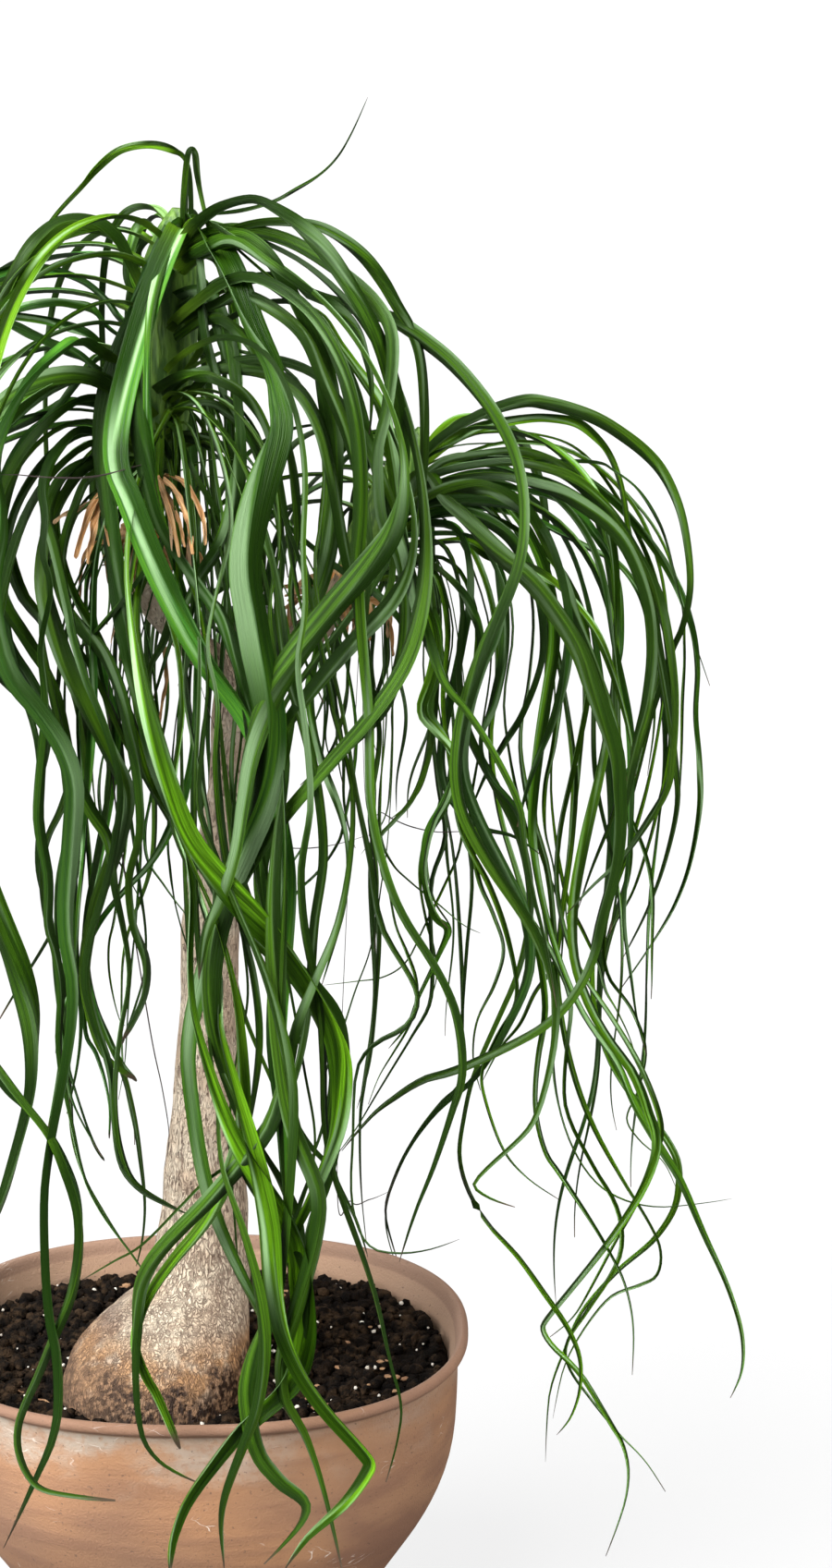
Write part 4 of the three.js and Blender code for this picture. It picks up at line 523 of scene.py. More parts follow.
# finer leaves that hang between them, and leaves cut short and blunt
leftMore = [
    [9, -95, 165, 420, 150, 470, 110, 480, 75, 520, 62, 560, 66, 600, 78, 640, 96, 675, 112, 705, 128, 740,
      142, 775, 152, 805, 165, 845, 185, 880, 210, 920, 235, 962, 255, 990, 275, 1020, 290, 1050],
    [8, -85, 150, 490, 120, 520, 90, 545, 72, 590, 70, 640, 80, 690, 96, 718, 112, 748, 128, 785, 146, 820,
      165, 856, 188, 896, 205, 930, 225, 975, 240, 1010],
    [9, -70, 180, 440, 170, 470, 150, 500, 132, 540, 124, 590, 126, 640, 134, 690, 144, 735, 150, 775,
      148, 830, 140, 870, 133, 900, 118, 940, 105, 975, 95, 1010, 88, 1040],
    [9, -80, 190, 470, 195, 520, 200, 580, 192, 640, 178, 690, 163, 720, 157, 760, 157, 800, 165, 840,
      182, 880, 203, 920, 225, 955, 240, 990],
    [7, -110, 150, 490, 130, 520, 80, 560, 50, 620, 45, 680, 55, 740, 68, 800, 76, 840, 66, 875, 52, 905,
      45, 940, 46, 975, 52, 1010, 60, 1040],
    [5, -60, 140, 520, 100, 600, 72, 680, 60, 760, 53, 810, 45, 845, 42, 880, 44, 915, 48, 945],
    [6, -75, 150, 500, 120, 560, 75, 650, 62, 760, 72, 870, 74, 960, 70, 1050, 72, 1130, 76, 1190, 80, 1235,
      92, 1275, 110, 1308, 130, 1340, 152, 1372],
    [7, -88, 145, 520, 108, 580, 92, 660, 100, 740, 118, 820, 112, 900, 95, 980, 92, 1040, 104, 1090,
      120, 1130, 134, 1165, 145, 1210, 152, 1255, 157, 1300, 154, 1340, 147, 1370],
    [3, -64, 160, 500, 130, 620, 122, 760, 138, 880, 125, 985, 118, 1020, 118, 1050, 123, 1080, 130, 1105,
      135, 1110],
    [3, -62, 170, 520, 150, 640, 140, 780, 152, 900, 148, 985, 145, 1020, 141, 1060, 138, 1100, 135, 1150,
      128, 1190],
    [7, -112, 160, 500, 125, 540, 105, 600, 100, 680, 100, 760, 97, 830, 93, 880, 90, 930, 85, 985,
      82, 1040, 80, 1090],
    [4, -50, 180, 540, 175, 600, 150, 700, 130, 780, 113, 815, 107, 850, 110, 885, 121, 918, 138, 948,
      152, 975, 158, 1010],
    [4, -70, 160, 560, 150, 640, 165, 720, 172, 800, 164, 860, 157, 900, 160, 932, 176, 956, 195, 982,
      222, 1012],
    [3, -58, 190, 600, 200, 700, 188, 800, 182, 900, 184, 940, 188, 970, 195, 1000, 205, 1030, 212, 1045],
    [8, -96, 205, 560, 215, 640, 212, 720, 210, 800, 200, 860, 182, 900, 160, 936, 132, 966, 108, 996,
      92, 1028, 82, 1060, 66, 1100, 60, 1140],
    [8, -115, 150, 400, 60, 420, -20, 500, -60, 640, -70, 800, -60, 950, -40, 1080, 0, 1166, 30, 1198,
      55, 1228, 72, 1258, 84, 1290, 88, 1325, 84, 1365],
    [3.5, -60, 250, 520, 300, 620, 345, 720, 350, 800, 338, 860, 333, 890, 328, 915, 312, 940, 301, 965,
      299, 985],
    [4, -66, 260, 500, 330, 600, 370, 700, 385, 800, 372, 890, 362, 918, 342, 945, 322, 965, 313, 985,
      312, 1005],
    [8, -88, 240, 470, 310, 560, 340, 650, 342, 700, 335, 745, 340, 790, 352, 835, 368, 880, 376, 925,
      373, 975, 362, 1020, 348, 1066],
    [12, -140, 215, 420, 235, 520, 245, 620, 240, 720, 235, 800, 240, 880, 250, 950, 262, 1005, 273, 1050,
      279, 1100, 279, 1145, 274, 1190, 268, 1230],
    [11, -125, 225, 430, 255, 520, 290, 600, 310, 680, 318, 760, 305, 840, 290, 900, 282, 945, 286, 985,
      305, 1025, 330, 1065, 350, 1110, 358, 1160, 350, 1215, 335, 1260],
    [9, -130, 215, 275, 250, 262, 290, 285, 330, 312, 362, 332, 385, 356, 396, 385, 402, 420, 400, 470],
    [8, -110, 230, 480, 280, 600, 300, 720, 292, 840, 285, 940, 292, 1030, 300, 1100, 306, 1160, 316, 1205,
      334, 1238, 354, 1262, 370, 1290, 386, 1322, 398, 1360],
    [9, -118, 205, 440, 225, 560, 232, 680, 240, 800, 250, 900, 262, 960, 285, 1010, 312, 1050, 335, 1085,
      350, 1120, 358, 1165, 360, 1210, 352, 1255, 345, 1290],
    [5, -70, 215, 470, 290, 560, 345, 640, 375, 690, 376, 730, 372, 770, 362, 805, 345, 830, 325, 850],
    [14, -172, 190, 450, 206, 560, 216, 700, 210, 860, 212, 980, 218, 1060, 229, 1130, 246, 1172, 263, 1206,
      287, 1250, 309, 1289, 322, 1320, 328, 1345, 331, 1378],
    [12, -178, 186, 460, 190, 600, 196, 760, 198, 900, 204, 1020, 212, 1100, 222, 1153, 240, 1212, 263, 1270,
      290, 1312, 313, 1342, 328, 1380, 330, 1425, 326, 1466, 308, 1498, 284, 1520],
    [11, -166, 205, 460, 240, 600, 262, 760, 280, 900, 300, 1000, 318, 1090, 330, 1160, 340, 1220, 338, 1262,
      326, 1300, 312, 1345, 304, 1390, 306, 1425, 316, 1450],
    [16, -168, 215, 235, 270, 255, 335, 290, 390, 345, 430, 420, 452, 500, 460, 580, 455, 650, 436, 715,
      400, 772, 360, 820, 318, 868, 283, 912, 255, 955, 236, 1005, 228, 1060, 232, 1115, 246, 1170,
      262, 1225],
    [15, -174, 215, 235, 262, 262, 320, 300, 372, 350, 410, 410, 432, 470, 436, 520, 425, 572, 395, 618,
      355, 665, 318, 712, 288, 760, 270, 812, 262, 865, 255, 915, 240, 965, 222, 1010, 215, 1060],
    [13, -162, 215, 235, 275, 285, 335, 340, 385, 400, 425, 470, 445, 540, 445, 600, 425, 648, 385, 692,
      345, 738, 308, 788, 285, 840, 275, 900, 280, 960, 295, 1020],
    [15, -182, 185, 440, 150, 520, 138, 610, 145, 690, 157, 761, 178, 840, 202, 905, 237, 953, 275, 993,
      309, 1029, 340, 1075, 362, 1119, 369, 1160, 364, 1220, 345, 1275, 322, 1325, 300, 1372],
    [7, -190, 215, 440, 270, 560, 300, 700, 307, 860, 309, 940, 306, 1050, 302, 1163, 305, 1240, 309, 1311,
      312, 1380],
    [1.4, -120, 165, 500, 107, 515, 60, 517, 20, 514, -6, 514],
    [1.4, -90, 150, 560, 120, 700, 124, 860, 160, 1100, 176, 1180, 183, 1230, 178, 1262],
    [1.3, -80, 270, 900, 300, 915, 330, 918, 362, 914, 395, 905],
]
leftShort = [
    [8, -75, 190, 510, 185, 560, 165, 600, 150, 640, 138, 675, 132, 700, 130, 716],
    [5, -100, 180, 520, 190, 560, 160, 612, 128, 655, 100, 688, 84, 704],
    [9, -80, 165, 480, 150, 520, 115, 560, 100, 640, 110, 720, 125, 790, 120, 850, 108, 920, 98, 980,
      95, 1040, 103, 1085, 118, 1125, 132, 1152, 148, 1170],
    [5, -70, 160, 500, 140, 540, 100, 640, 85, 760, 90, 860, 98, 960, 92, 1050, 92, 1115, 104, 1140,
      114, 1170, 119, 1200, 118, 1232],
    [5, -85, 150, 500, 130, 560, 80, 650, 70, 760, 75, 880, 62, 960, 62, 1040, 66, 1110, 76, 1160, 88, 1200,
      102, 1238, 113, 1256],
    [5, -60, 180, 500, 170, 540, 140, 600, 125, 700, 130, 800, 140, 880, 150, 950, 158, 1010, 156, 1055,
      146, 1090, 138, 1112, 132, 1130],
    [8, -75, 215, 480, 300, 560, 372, 620, 405, 640, 422, 658, 440, 684, 452, 696],
]
rightMore = [
    [5, 10, 440, 530, 455, 560, 462, 640, 458, 720, 466, 790, 474, 850, 482, 905, 468, 950, 466, 1000,
      468, 1050, 464, 1088, 446, 1120, 425, 1155, 404, 1190, 385, 1222, 366, 1248],
    [6, -40, 446, 540, 470, 600, 490, 680, 480, 760, 495, 850, 510, 940, 505, 1020, 500, 1100, 500, 1165,
      478, 1192, 455, 1222, 437, 1252, 424, 1282, 417, 1312, 420, 1340, 430, 1372],
    [5, -20, 450, 560, 478, 680, 470, 800, 490, 920, 498, 1020, 500, 1100, 497, 1175, 482, 1225, 466, 1268,
      450, 1312, 436, 1352, 428, 1380],
    [5, -10, 420, 560, 402, 640, 398, 740, 405, 850, 400, 940, 403, 1000, 406, 1060, 403, 1110, 396, 1160,
      390, 1200, 389, 1240, 391, 1290, 396, 1345],
    [4, 0, 424, 570, 420, 680, 418, 780, 410, 870, 412, 940, 420, 960, 428, 1000, 440, 1030, 450, 1060,
      450, 1090, 440, 1115, 425, 1140, 410, 1165, 398, 1195],
    [4, 20, 450, 640, 470, 740, 480, 810, 475, 870, 462, 895, 455, 930, 455, 960, 462, 1000, 470, 1030,
      472, 1060, 462, 1090],
    [3, 26, 460, 640, 485, 740, 490, 820, 478, 870, 463, 900, 462, 940, 470, 975, 488, 1005, 480, 1025,
      472, 1040],
    [2.5, 24, 430, 640, 470, 670, 472, 705, 462, 750, 454, 772, 468, 790, 492, 820, 500, 850, 512, 880,
      535, 905],
    [2.5, -10, 410, 640, 415, 760, 412, 850, 412, 905, 425, 935, 445, 955, 470, 975, 500, 1000, 520, 1010],
    [2.5, -16, 418, 640, 425, 780, 420, 900, 412, 960, 406, 1000, 398, 1035, 385, 1070, 372, 1110,
      357, 1145, 350, 1175, 350, 1200, 355, 1230],
    [3, 14, 470, 600, 500, 720, 505, 820, 503, 870, 497, 920, 480, 960, 460, 1000, 440, 1040, 415, 1057,
      385, 1062, 350, 1066],
    [5, 20, 480, 560, 530, 680, 520, 800, 508, 880, 517, 948, 533, 987, 545, 1026, 535, 1065, 516, 1104,
      512, 1145, 520, 1180],
    [7, 60, 500, 490, 540, 500, 560, 520, 600, 600, 625, 680, 632, 760, 626, 830, 620, 885, 614, 935,
      612, 985, 620, 1030],
    [7, 70, 500, 470, 580, 470, 640, 500, 700, 600, 722, 700, 725, 800, 710, 880, 698, 925, 684, 965,
      665, 1000, 650, 1030],
    [7, 40, 490, 520, 540, 560, 580, 640, 606, 720, 600, 800, 590, 850, 589, 895, 598, 935, 605, 985],
    [5, 75, 520, 480, 620, 490, 700, 560, 735, 640, 740, 700, 738, 760, 737, 820, 733, 870, 722, 920],
    [8, 30, 500, 520, 560, 580, 600, 700, 620, 820, 618, 900, 608, 980, 600, 1040, 578, 1075, 562, 1108,
      540, 1135, 522, 1170],
    [5, 50, 520, 520, 580, 600, 600, 740, 596, 860, 610, 960, 632, 1010, 648, 1044, 655, 1072, 668, 1095,
      680, 1120, 690, 1150],
    [3, 40, 460, 620, 440, 700, 425, 760, 424, 800, 422, 850, 418, 880, 405, 905, 390, 925],
    [4, 30, 470, 600, 474, 700, 470, 780, 460, 840, 444, 868, 420, 888],
    [1.3, -30, 365, 1250, 380, 1300, 400, 1298, 420, 1290],
    [1.3, 0, 395, 860, 415, 880, 440, 893, 470, 900, 500, 900, 530, 902],
]
shortRoutes = {"left": (37, 42, 54, 56), "right": ()}
print("routes:", len(leftRoutes), "left,", len(rightRoutes), "right")


# where a leaf may hang

def onSheet(right, down):
    tilt = math.radians(sheet["pitch"])
    across = (right - sheet["foot"][0]) * sheet["step"]
    up = (sheet["foot"][1] - down) * sheet["step"]
    return np.array([across, up * math.sin(tilt), up * math.cos(tilt)])


def eyePlace():
    tilt = math.radians(sheet["pitch"])
    back = np.array([0, math.cos(tilt), -math.sin(tilt)]) * sheet["distance"]
    return onSheet(*sheet["middle"]) - back


eye = eyePlace()


def atDepth(right, down, depth):
    point = onSheet(right, down)
    return eye + (point - eye) * (depth - eye[1]) / (point[1] - eye[1])


def sheetSteps(steps):
    return [np.array(pair, float) for pair in zip(steps[::2], steps[1::2])]


clear = {"leaf": 13, "dry": 46, "branch": 1.35, "drawnRim": 90, "wildRim": 190}
divide = {"reach": 110, "middle": 30, "width": 70, "gap": 8}


def branchPost(branch):
    return [[x, y, z, radius * clear["branch"] + clear["leaf"]] for x, y, z, radius in branch]


posts = [
    [[x, y, z, radius + clear["leaf"]] for x, y, z, radius in trunkRings],
    branchPost(leftBranch),
    branchPost(rightBranch),
    [[x, y, z, clear["dry"]] for x, y, z, _ in leftBranch[-3:]],
    [[x, y, z, clear["dry"]] for x, y, z, _ in rightBranch[-3:]],
]


def postAt(post, height):
    if height < post[0][2] - clear["leaf"] or height > post[-1][2] + clear["leaf"]:
        return None
    heights = [ring[2] for ring in post]
    return [float(np.interp(height, heights, [ring[place] for ring in post])) for place in (0, 1, 3)]


def dividingDepth(x):
    return -divide["reach"] * math.tanh((x - divide["middle"]) / divide["width"])


def rimShare(height, over):
    return min(1, max(0, (pot["height"] + clear["leaf"] + over - height) / over))


def depthLimit(x, height, side):
    limit = dividingDepth(x) + side * divide["gap"]
    pick = min if side < 0 else max
    for post in posts:
        found = postAt(post, height)
        if found and abs(x - found[0]) < found[2]:
            limit = pick(limit, found[1] + side * math.sqrt(found[2] ** 2 - (x - found[0]) ** 2))
    share = rimShare(height, clear["drawnRim"])
    across = abs(x) / (pot["halfWidth"] + clear["leaf"])
    if share > 0 and across < 1:
        power = pot["squareness"]
        deep = (1 - across ** power) ** (1 / power)
        limit = pick(limit, side * share * deep * (pot["halfDepth"] + clear["leaf"]))
    return limit


def movedClear(point, side):
    x, y, z = point
    limit = dividingDepth(x) + side * divide["gap"]
    if side * (y - limit) < 0:
        y = limit
    for post in posts:
        found = postAt(post, z)
        away = math.hypot(x - found[0], y - found[1]) if found else math.inf
        if found and 0 < away < found[2]:
            x = found[0] + (x - found[0]) * found[2] / away
            y = found[1] + (y - found[1]) * found[2] / away
    reach = rimShare(z, clear["wildRim"])
    across = abs(x) / (pot["halfWidth"] + clear["leaf"])
    deep = abs(y) / (pot["halfDepth"] + clear["leaf"])
    power = pot["squareness"]
    share = (across ** power + deep ** power) ** (1 / power)
    if 0 < share < reach:
        x *= reach / share
        y *= reach / share
    return np.array([x, y, z])


# the way each leaf runs, in steps; the first few stay on its stem

samples = 48
rooted = 3
way = {"rootRise": 10, "turns": 1.1, "early": (0.3, 0.75), "sway": 8, "swayFrom": 0.35, "rounds": 4}


def splinePoint(points, share):
    place = (len(points) - 1) * share
    at = min(int(place), len(points) - 2)
    t = place - at
    before, one = points[max(at - 1, 0)], points[at]
    two, after = points[at + 1], points[min(at + 2, len(points) - 1)]
    start, end = (two - before) / 2, (after - one) / 2
    cubic = (2 * one - 2 * two + start + end) * t ** 3
    return cubic + (-3 * one + 3 * two - 2 * start - end) * t ** 2 + start * t + one


def drawnPoints(steps, depth, roots, side, draw):
    drawn = sheetSteps(steps)
    rise = (roots["low"][1] - drawn[0][1] - way["rootRise"]) / (roots["low"][1] - roots["high"][1])
    rise = min(1, max(0, rise))
    drawn.insert(0, mix(np.array(roots["low"], float), np.array(roots["high"], float), rise))
    turns, start = way["turns"] + draw(), draw()
    early = mix(*way["early"], draw())
    marks, depths = [], []
    for at in range(samples + 1):
        share = at / samples
        out = 1 - (1 - min(1, share / early)) ** 2
        wander = way["sway"] * wave(turns * share + start) * ease(share / way["swayFrom"])
        marks.append(splinePoint(drawn, share))
        depths.append(mix(roots["depth"], depth, out) + wander)

    def held(at):
        place = atDepth(*marks[at], depths[at])
        limit = depthLimit(place[0], place[2], side)
        return min(depths[at], limit) if side < 0 else max(depths[at], limit)

    for _ in range(way["rounds"]):
        for at in range(rooted, samples + 1):
            depths[at] = held(at)
        for at in range(rooted, samples):
            depths[at] = (depths[at - 1] + 2 * depths[at] + depths[at + 1]) / 4
    for at in range(rooted, samples + 1):
        depths[at] = held(at)
    return np.array([atDepth(*mark, depths[at]) for at, mark in enumerate(marks)])


wild = {
    "left": {"leaves": 18, "from": 112, "to": 240, "seed": 55881},
    "right": {"leaves": 19, "from": -72, "to": 168, "seed": 31981},
    # the leaves that hang down behind each stem
    "behind": {
        "left": {"leaves": 22, "from": 58, "to": 122, "seed": 77213, "shorter": 0.52},
        "right": {"leaves": 10, "from": 70, "to": 150, "seed": 40127, "shorter": 0.45},
    },
    "least": 430, "most": 800, "narrow": 8, "wide": 14, "scale": 0.58, "lowest": 0.12, "highest": 0.86,
    "flat": 6, "rise": 18, "droop": -84, "arch": 0.42, "curl": 1.5, "swing": 17,
    "spread": 0.618, "jitter": 0.12, "turns": (1.2, 1.3), "twirls": 0.8, "looseFrom": 0.3, "looseOver": 0.4,
}


def wildPoints(stem, span, order, side, draw):
    rank = (order + draw()) / span["leaves"]
    stemPoints = [np.array(ring[:3], float) for ring in stem]
    point = splinePoint(stemPoints, mix(wild["lowest"], wild["highest"], rank))
    turned = order * wild["spread"] % 1 + wild["jitter"] * draw()
    heading = math.radians(mix(span["from"], span["to"], turned))
    rise = math.radians(mix(wild["flat"], wild["rise"], rank))
    step = mix(wild["least"], wild["most"], draw()) * span.get("shorter", 1) / samples
    turns, start = wild["turns"][0] + wild["turns"][1] * draw(), draw()
    twirls, begin = wild["twirls"] + draw(), draw()
    points = [point.copy()]
    for at in range(1, samples + 1):
        share = at / samples
        loose = ease((share - wild["looseFrom"]) / wild["looseOver"])
        swing = loose * wild["swing"] * wave(turns * share + start)
        slope = mix(rise, math.radians(wild["droop"]), ease(share / wild["arch"])) + math.radians(swing)
        turn = heading + wild["curl"] * wave(twirls * share + begin) * loose
        ahead = (math.cos(slope) * math.cos(turn), math.cos(slope) * math.sin(turn), math.sin(slope))
        point = point + step * np.array(ahead)
        points.append(movedClear(movedClear(point, side), side) if at > rooted else point.copy())
    return np.array(points)


def squareTo(direction, axis):
    return unit(direction - axis * np.dot(direction, axis))


def turnedAbout(vector, axis, angle):
    return vector * math.cos(angle) + np.cross(axis, vector) * math.sin(angle)


facings = {
    "turns": (1.0, 1.4), "outward": 0.6, "twist": 0.85, "twistFrom": 0.3, "turnFrom": 0.35, "drawn": 0.8,
}


def leafNormals(points, outward, facing, draw):
    # which way a leaf's upper side looks: up at its root, and with facing 1 towards the eye further on
    last = len(points) - 1
    turns, start = facings["turns"][0] + facings["turns"][1] * draw(), draw()
    normal = np.array([0, 0, 1.0]) - facings["outward"] * outward
    turn = 0
    normals = []
    for at in range(last + 1):
        along = unit(points[min(at + 1, last)] - points[max(at - 1, 0)])
        normal = squareTo(normal, along)
        toEye = squareTo(eye - points[at], along)
        angle = math.atan2(np.dot(along, np.cross(normal, toEye)), np.dot(normal, toEye))
        turn = angle + math.pi * round((turn - angle) / math.pi)
        share = at / last
        twist = facings["twist"] * wave(turns * share + start) * ease(share / facings["twistFrom"])
        turned = facing * turn * ease(share / facings["turnFrom"]) + twist
        normals.append(turnedAbout(normal, along, turned))
    return np.array(normals)


# blades: one flat blade is modelled, and each leaf is a copy of it laid along its own route

blade = {
    "stations": 96,
    "columns": 8,
    "fineStations": 64,
    "fineColumns": 2,
    "layerGap": 0.05,
    "crispAngle": 50,
    "fold": 0.8,
    "foldFrom": 1.01,
    "foldRange": (0.6, 1.25),
    "roundRange": (0.1, 1.0),
    "thick": 0.7,
    "edgeThinner": 0.6,
    "thickLeast": 0.35,
    "thickBy": 14,
    "baseWidth": 0.95,
    "fullAt": 0.12,
    "wideFrom": 11,
    "wideOver": 3,
    "wideMore": 1.08,
    "seen": 0.82,
    "slimTo": 0.22,
    "openTo": 0.22,
    "rise": 14,
    "riseShare": 0.09,
    "tipWidth": 0.08,
    "taper": 3.2,
    "blunt": 0.35,
    "threadWidth": 1.5,
    "tipLength": 0.025,
    "bluntLength": 0.004,
    "tipLeast": 0.12,
    "tipRound": 0.5,
}


def makeBlade(stations, columns):
    # two layers, folded down along the middle, with crisp edges
    deselectAll()
    bpy.ops.mesh.primitive_grid_add(x_subdivisions=stations, y_subdivisions=columns, size=2)
    made = bpy.context.object
    for column in range(1, columns // 2 + 1):
        inside = blade["foldFrom"] - 2 * column / columns
        selectVerts(made, lambda co: abs(co.y) < inside)
        bpy.ops.transform.translate(value=(0, 0, -2 * blade["fold"] / columns))
        bpy.ops.object.mode_set(mode="OBJECT")
    upper = len(made.data.vertices)
    applyModifier(made, "SOLIDIFY", thickness=blade["layerGap"], offset=-1)
    markPoints(made.data, "under", [at >= upper for at in range(len(made.data.vertices))])
    smooth(made, blade["crispAngle"])
    return made


def resampled(values, count):
    return np.array([splinePoint(values, share) for share in np.linspace(0, 1, count)])


def bladeWidth(share, taper):
    base = mix(blade["baseWidth"], 1, np.minimum(1, share / blade["fullAt"]))
    return base * (1 - (1 - blade["tipWidth"]) * share ** taper)


def foldHeight(across, hollow):
    # from a plain fold to a rounded channel
    away = np.abs(across)
    return mix(away, away ** 2, hollow)


def halfWidths(share, width, looks):
    # half the width at each share of the length
    broad = min(1, max(0, (width - blade["wideFrom"]) / blade["wideOver"]))
    full = blade["seen"] * mix(1, blade["wideMore"], broad)
    blunt = looks.get("blunt", 0)
    half = full * width * mix(bladeWidth(share, looks.get("taper", blade["taper"])), 1, blunt) / 2
    opening = (share - looks.get("slimTo", blade["slimTo"])) / blade["openTo"]
    half *= mix(1 - looks.get("slim", 0), 1, ease(opening))
    tip = (1 - share) / mix(blade["tipLength"], blade["bluntLength"], blunt)
    return half * np.clip(tip, blade["tipLeast"], 1) ** blade["tipRound"]


def layBlade(master, name, points, normals, width, looks):
    mesh = master.data.copy()
    flat = places(mesh)
    shares = np.unique(np.round(flat[:, 0], 5))
    rows = np.searchsorted(shares, np.round(flat[:, 0], 5))
    line = resampled(points, len(shares))
    faces = resampled(normals, len(shares))
    along = unit(np.gradient(line, axis=0))
    faces = unit(faces - along * np.sum(faces * along, axis=1, keepdims=True))
    across = np.cross(along, faces)
    half = halfWidths((flat[:, 0] + 1) / 2, width, looks)
    under = np.zeros(len(flat))
    mesh.attributes["under"].data.foreach_get("value", under)
    edge = 1 - blade["edgeThinner"] * np.abs(flat[:, 1])
    thick = blade["thick"] * edge * min(1, blade["thickLeast"] + width / blade["thickBy"])
    steep = blade["fold"] * looks.get("fold", 1)
    rise = steep * (foldHeight(flat[:, 1], looks.get("round", 0)) - 0.5) * half
    height = rise - np.where(under > 0.5, thick, 0)
    moved = line[rows] + across[rows] * (flat[:, 1] * half)[:, None] + faces[rows] * height[:, None]
    setPlaces(mesh, moved * mm)
    for key in ("tint", "seed"):
        markPoints(mesh, key, np.full(len(flat), looks[key]))
    return addObject(name, mesh)


def risen(points, floor):
    # a leaf leaves its stem upwards before it bends out
    shares = np.linspace(0, 1, len(points))
    near = np.clip(1 - shares / blade["riseShare"], 0, 1) ** 2
    drop = min(blade["rise"], max(0, points[0][2] - floor))
    moved = points.copy()
    moved[:, 2] -= drop * near
    return moved


def outwardOf(points):
    return levelled(points[rooted] - points[0])


bladeWide = makeBlade(blade["stations"], blade["columns"])
bladeFine = makeBlade(blade["fineStations"], blade["fineColumns"])


# materials

def put(tree, kind, inputs=None, **settings):
    # a node with its settings; each input is a value or the output that feeds it
    node = tree.nodes.new("ShaderNode" + kind)
    for name, value in settings.items():
        setattr(node, name, value)
    for name, value in (inputs or {}).items():
        fill(tree, node.inputs[name], value)
    return node


def fill(tree, socket, value):
    if isinstance(value, bpy.types.NodeSocket):
        tree.links.new(value, socket)
    elif socket.type == "RGBA":
        socket.default_value = (*value, 1)
    else:
        socket.default_value = value


def blend(tree, share, under, over):
    node = put(tree, "Mix", data_type="RGBA")
    for at, value in ((0, share), (6, under), (7, over)):
        fill(tree, node.inputs[at], value)
    return node.outputs[2]


def layered(tree, color, look, *layers):
    # colours laid over one another, each with the share of it that shows and its name in the look
    for share, name in layers:
        color = blend(tree, share, color, look[name])
    return color


def calc(tree, kind, *values):
    node = put(tree, "Math", operation=kind)
    for at, value in enumerate(values):
        fill(tree, node.inputs[at], value)
    return node.outputs[0]


def times(tree, value, *factors):
    for factor in factors:
        value = calc(tree, "MULTIPLY", value, factor)
    return value


def between(tree, value, low, high, toLow=0, toHigh=1):
    inputs = {"Value": value, "From Min": low, "From Max": high, "To Min": toLow, "To Max": toHigh}
    return put(tree, "MapRange", inputs, interpolation_type="SMOOTHSTEP").outputs[0]


def stretched(tree, vector, scale, place=(0, 0, 0)):
    return put(tree, "Mapping", {"Vector": vector, "Scale": scale, "Location": place}).outputs[0]


def newGroup(name, numbers):
    # an empty group that makes a mask from a place and some numbers
    group = bpy.data.node_groups.new(name, "ShaderNodeTree")
    group.interface.new_socket(name="Vector", in_out="INPUT", socket_type="NodeSocketVector")
    for number in numbers:
        group.interface.new_socket(name=number, in_out="INPUT", socket_type="NodeSocketFloat")
    group.interface.new_socket(name="Mask", in_out="OUTPUT", socket_type="NodeSocketFloat")
    given, made = group.nodes.new("NodeGroupInput"), group.nodes.new("NodeGroupOutput")
    return group, given.outputs, made.inputs["Mask"]


def makePatchGroup():
    # soft noise between two levels, from 0 to 1
    group, given, mask = newGroup("patches", ("Scale", "Detail", "Low", "High"))
    spots = put(group, "TexNoise", {key: given[key] for key in ("Vector", "Scale", "Detail")})
    fill(group, mask, between(group, spots.outputs["Fac"], given["Low"], given["High"]))
    return group


waver = {"scale": 0.6, "detail": 2, "centre": (0.5, 0.5, 0.5)}


def makeCrackGroup():
    # thin lines between the cells of a wavering net
    group, given, mask = newGroup("cracks", ("Scale", "Waver", "Width"))
    scale = times(group, given["Scale"], waver["scale"])
    drift = put(group, "TexNoise", {"Vector": given["Vector"], "Scale": scale, "Detail": waver["detail"]})
    offset = {0: drift.outputs["Color"], 1: waver["centre"]}
    centred = put(group, "VectorMath", offset, operation="SUBTRACT")
    pushed = put(group, "VectorMath", {0: centred.outputs[0], "Scale": given["Waver"]}, operation="SCALE")
    moved = put(group, "VectorMath", {0: given["Vector"], 1: pushed.outputs[0]}, operation="ADD")
    net = {"Vector": moved.outputs[0], "Scale": given["Scale"]}
    cells = put(group, "TexVoronoi", net, feature="DISTANCE_TO_EDGE")
    fill(group, mask, between(group, cells.outputs["Distance"], 0, given["Width"], 1, 0))
    return group


patchGroup = makePatchGroup()
crackGroup = makeCrackGroup()


def grouped(tree, group, inputs):
    node = tree.nodes.new("ShaderNodeGroup")
    node.node_tree = group
    for name, value in inputs.items():
        fill(tree, node.inputs[name], value)
    return node.outputs["Mask"]


def patches(tree, vector, scale, low, high, detail=3):
    inputs = {"Vector": vector, "Scale": scale, "Detail": detail, "Low": low, "High": high}
    return grouped(tree, patchGroup, inputs)


def cracks(tree, vector, scale, reach, width):
    return grouped(tree, crackGroup, {"Vector": vector, "Scale": scale, "Waver": reach, "Width": width})


def newPaint(name, look):
    made = bpy.data.materials.new(name)
    made.use_nodes = True
    shader = made.node_tree.nodes["Principled BSDF"]
    if "roughness" in look:
        shader.inputs["Roughness"].default_value = look["roughness"]
    if "gloss" in look:
        shader.inputs["Specular IOR Level"].default_value = look["gloss"]
    return made, made.node_tree, shader


def dress(tree, shader, color, height=None, depth=0):
    fill(tree, shader.inputs["Base Color"], color)
    if height is not None:
        bump = put(tree, "Bump", {"Height": height, "Strength": 1, "Distance": depth})
        fill(tree, shader.inputs["Normal"], bump.outputs[0])


def objectPlace(tree):
    return put(tree, "TexCoord").outputs["Object"]


def along(tree, vector, axis):
    return put(tree, "SeparateXYZ", {0: vector}).outputs[axis]


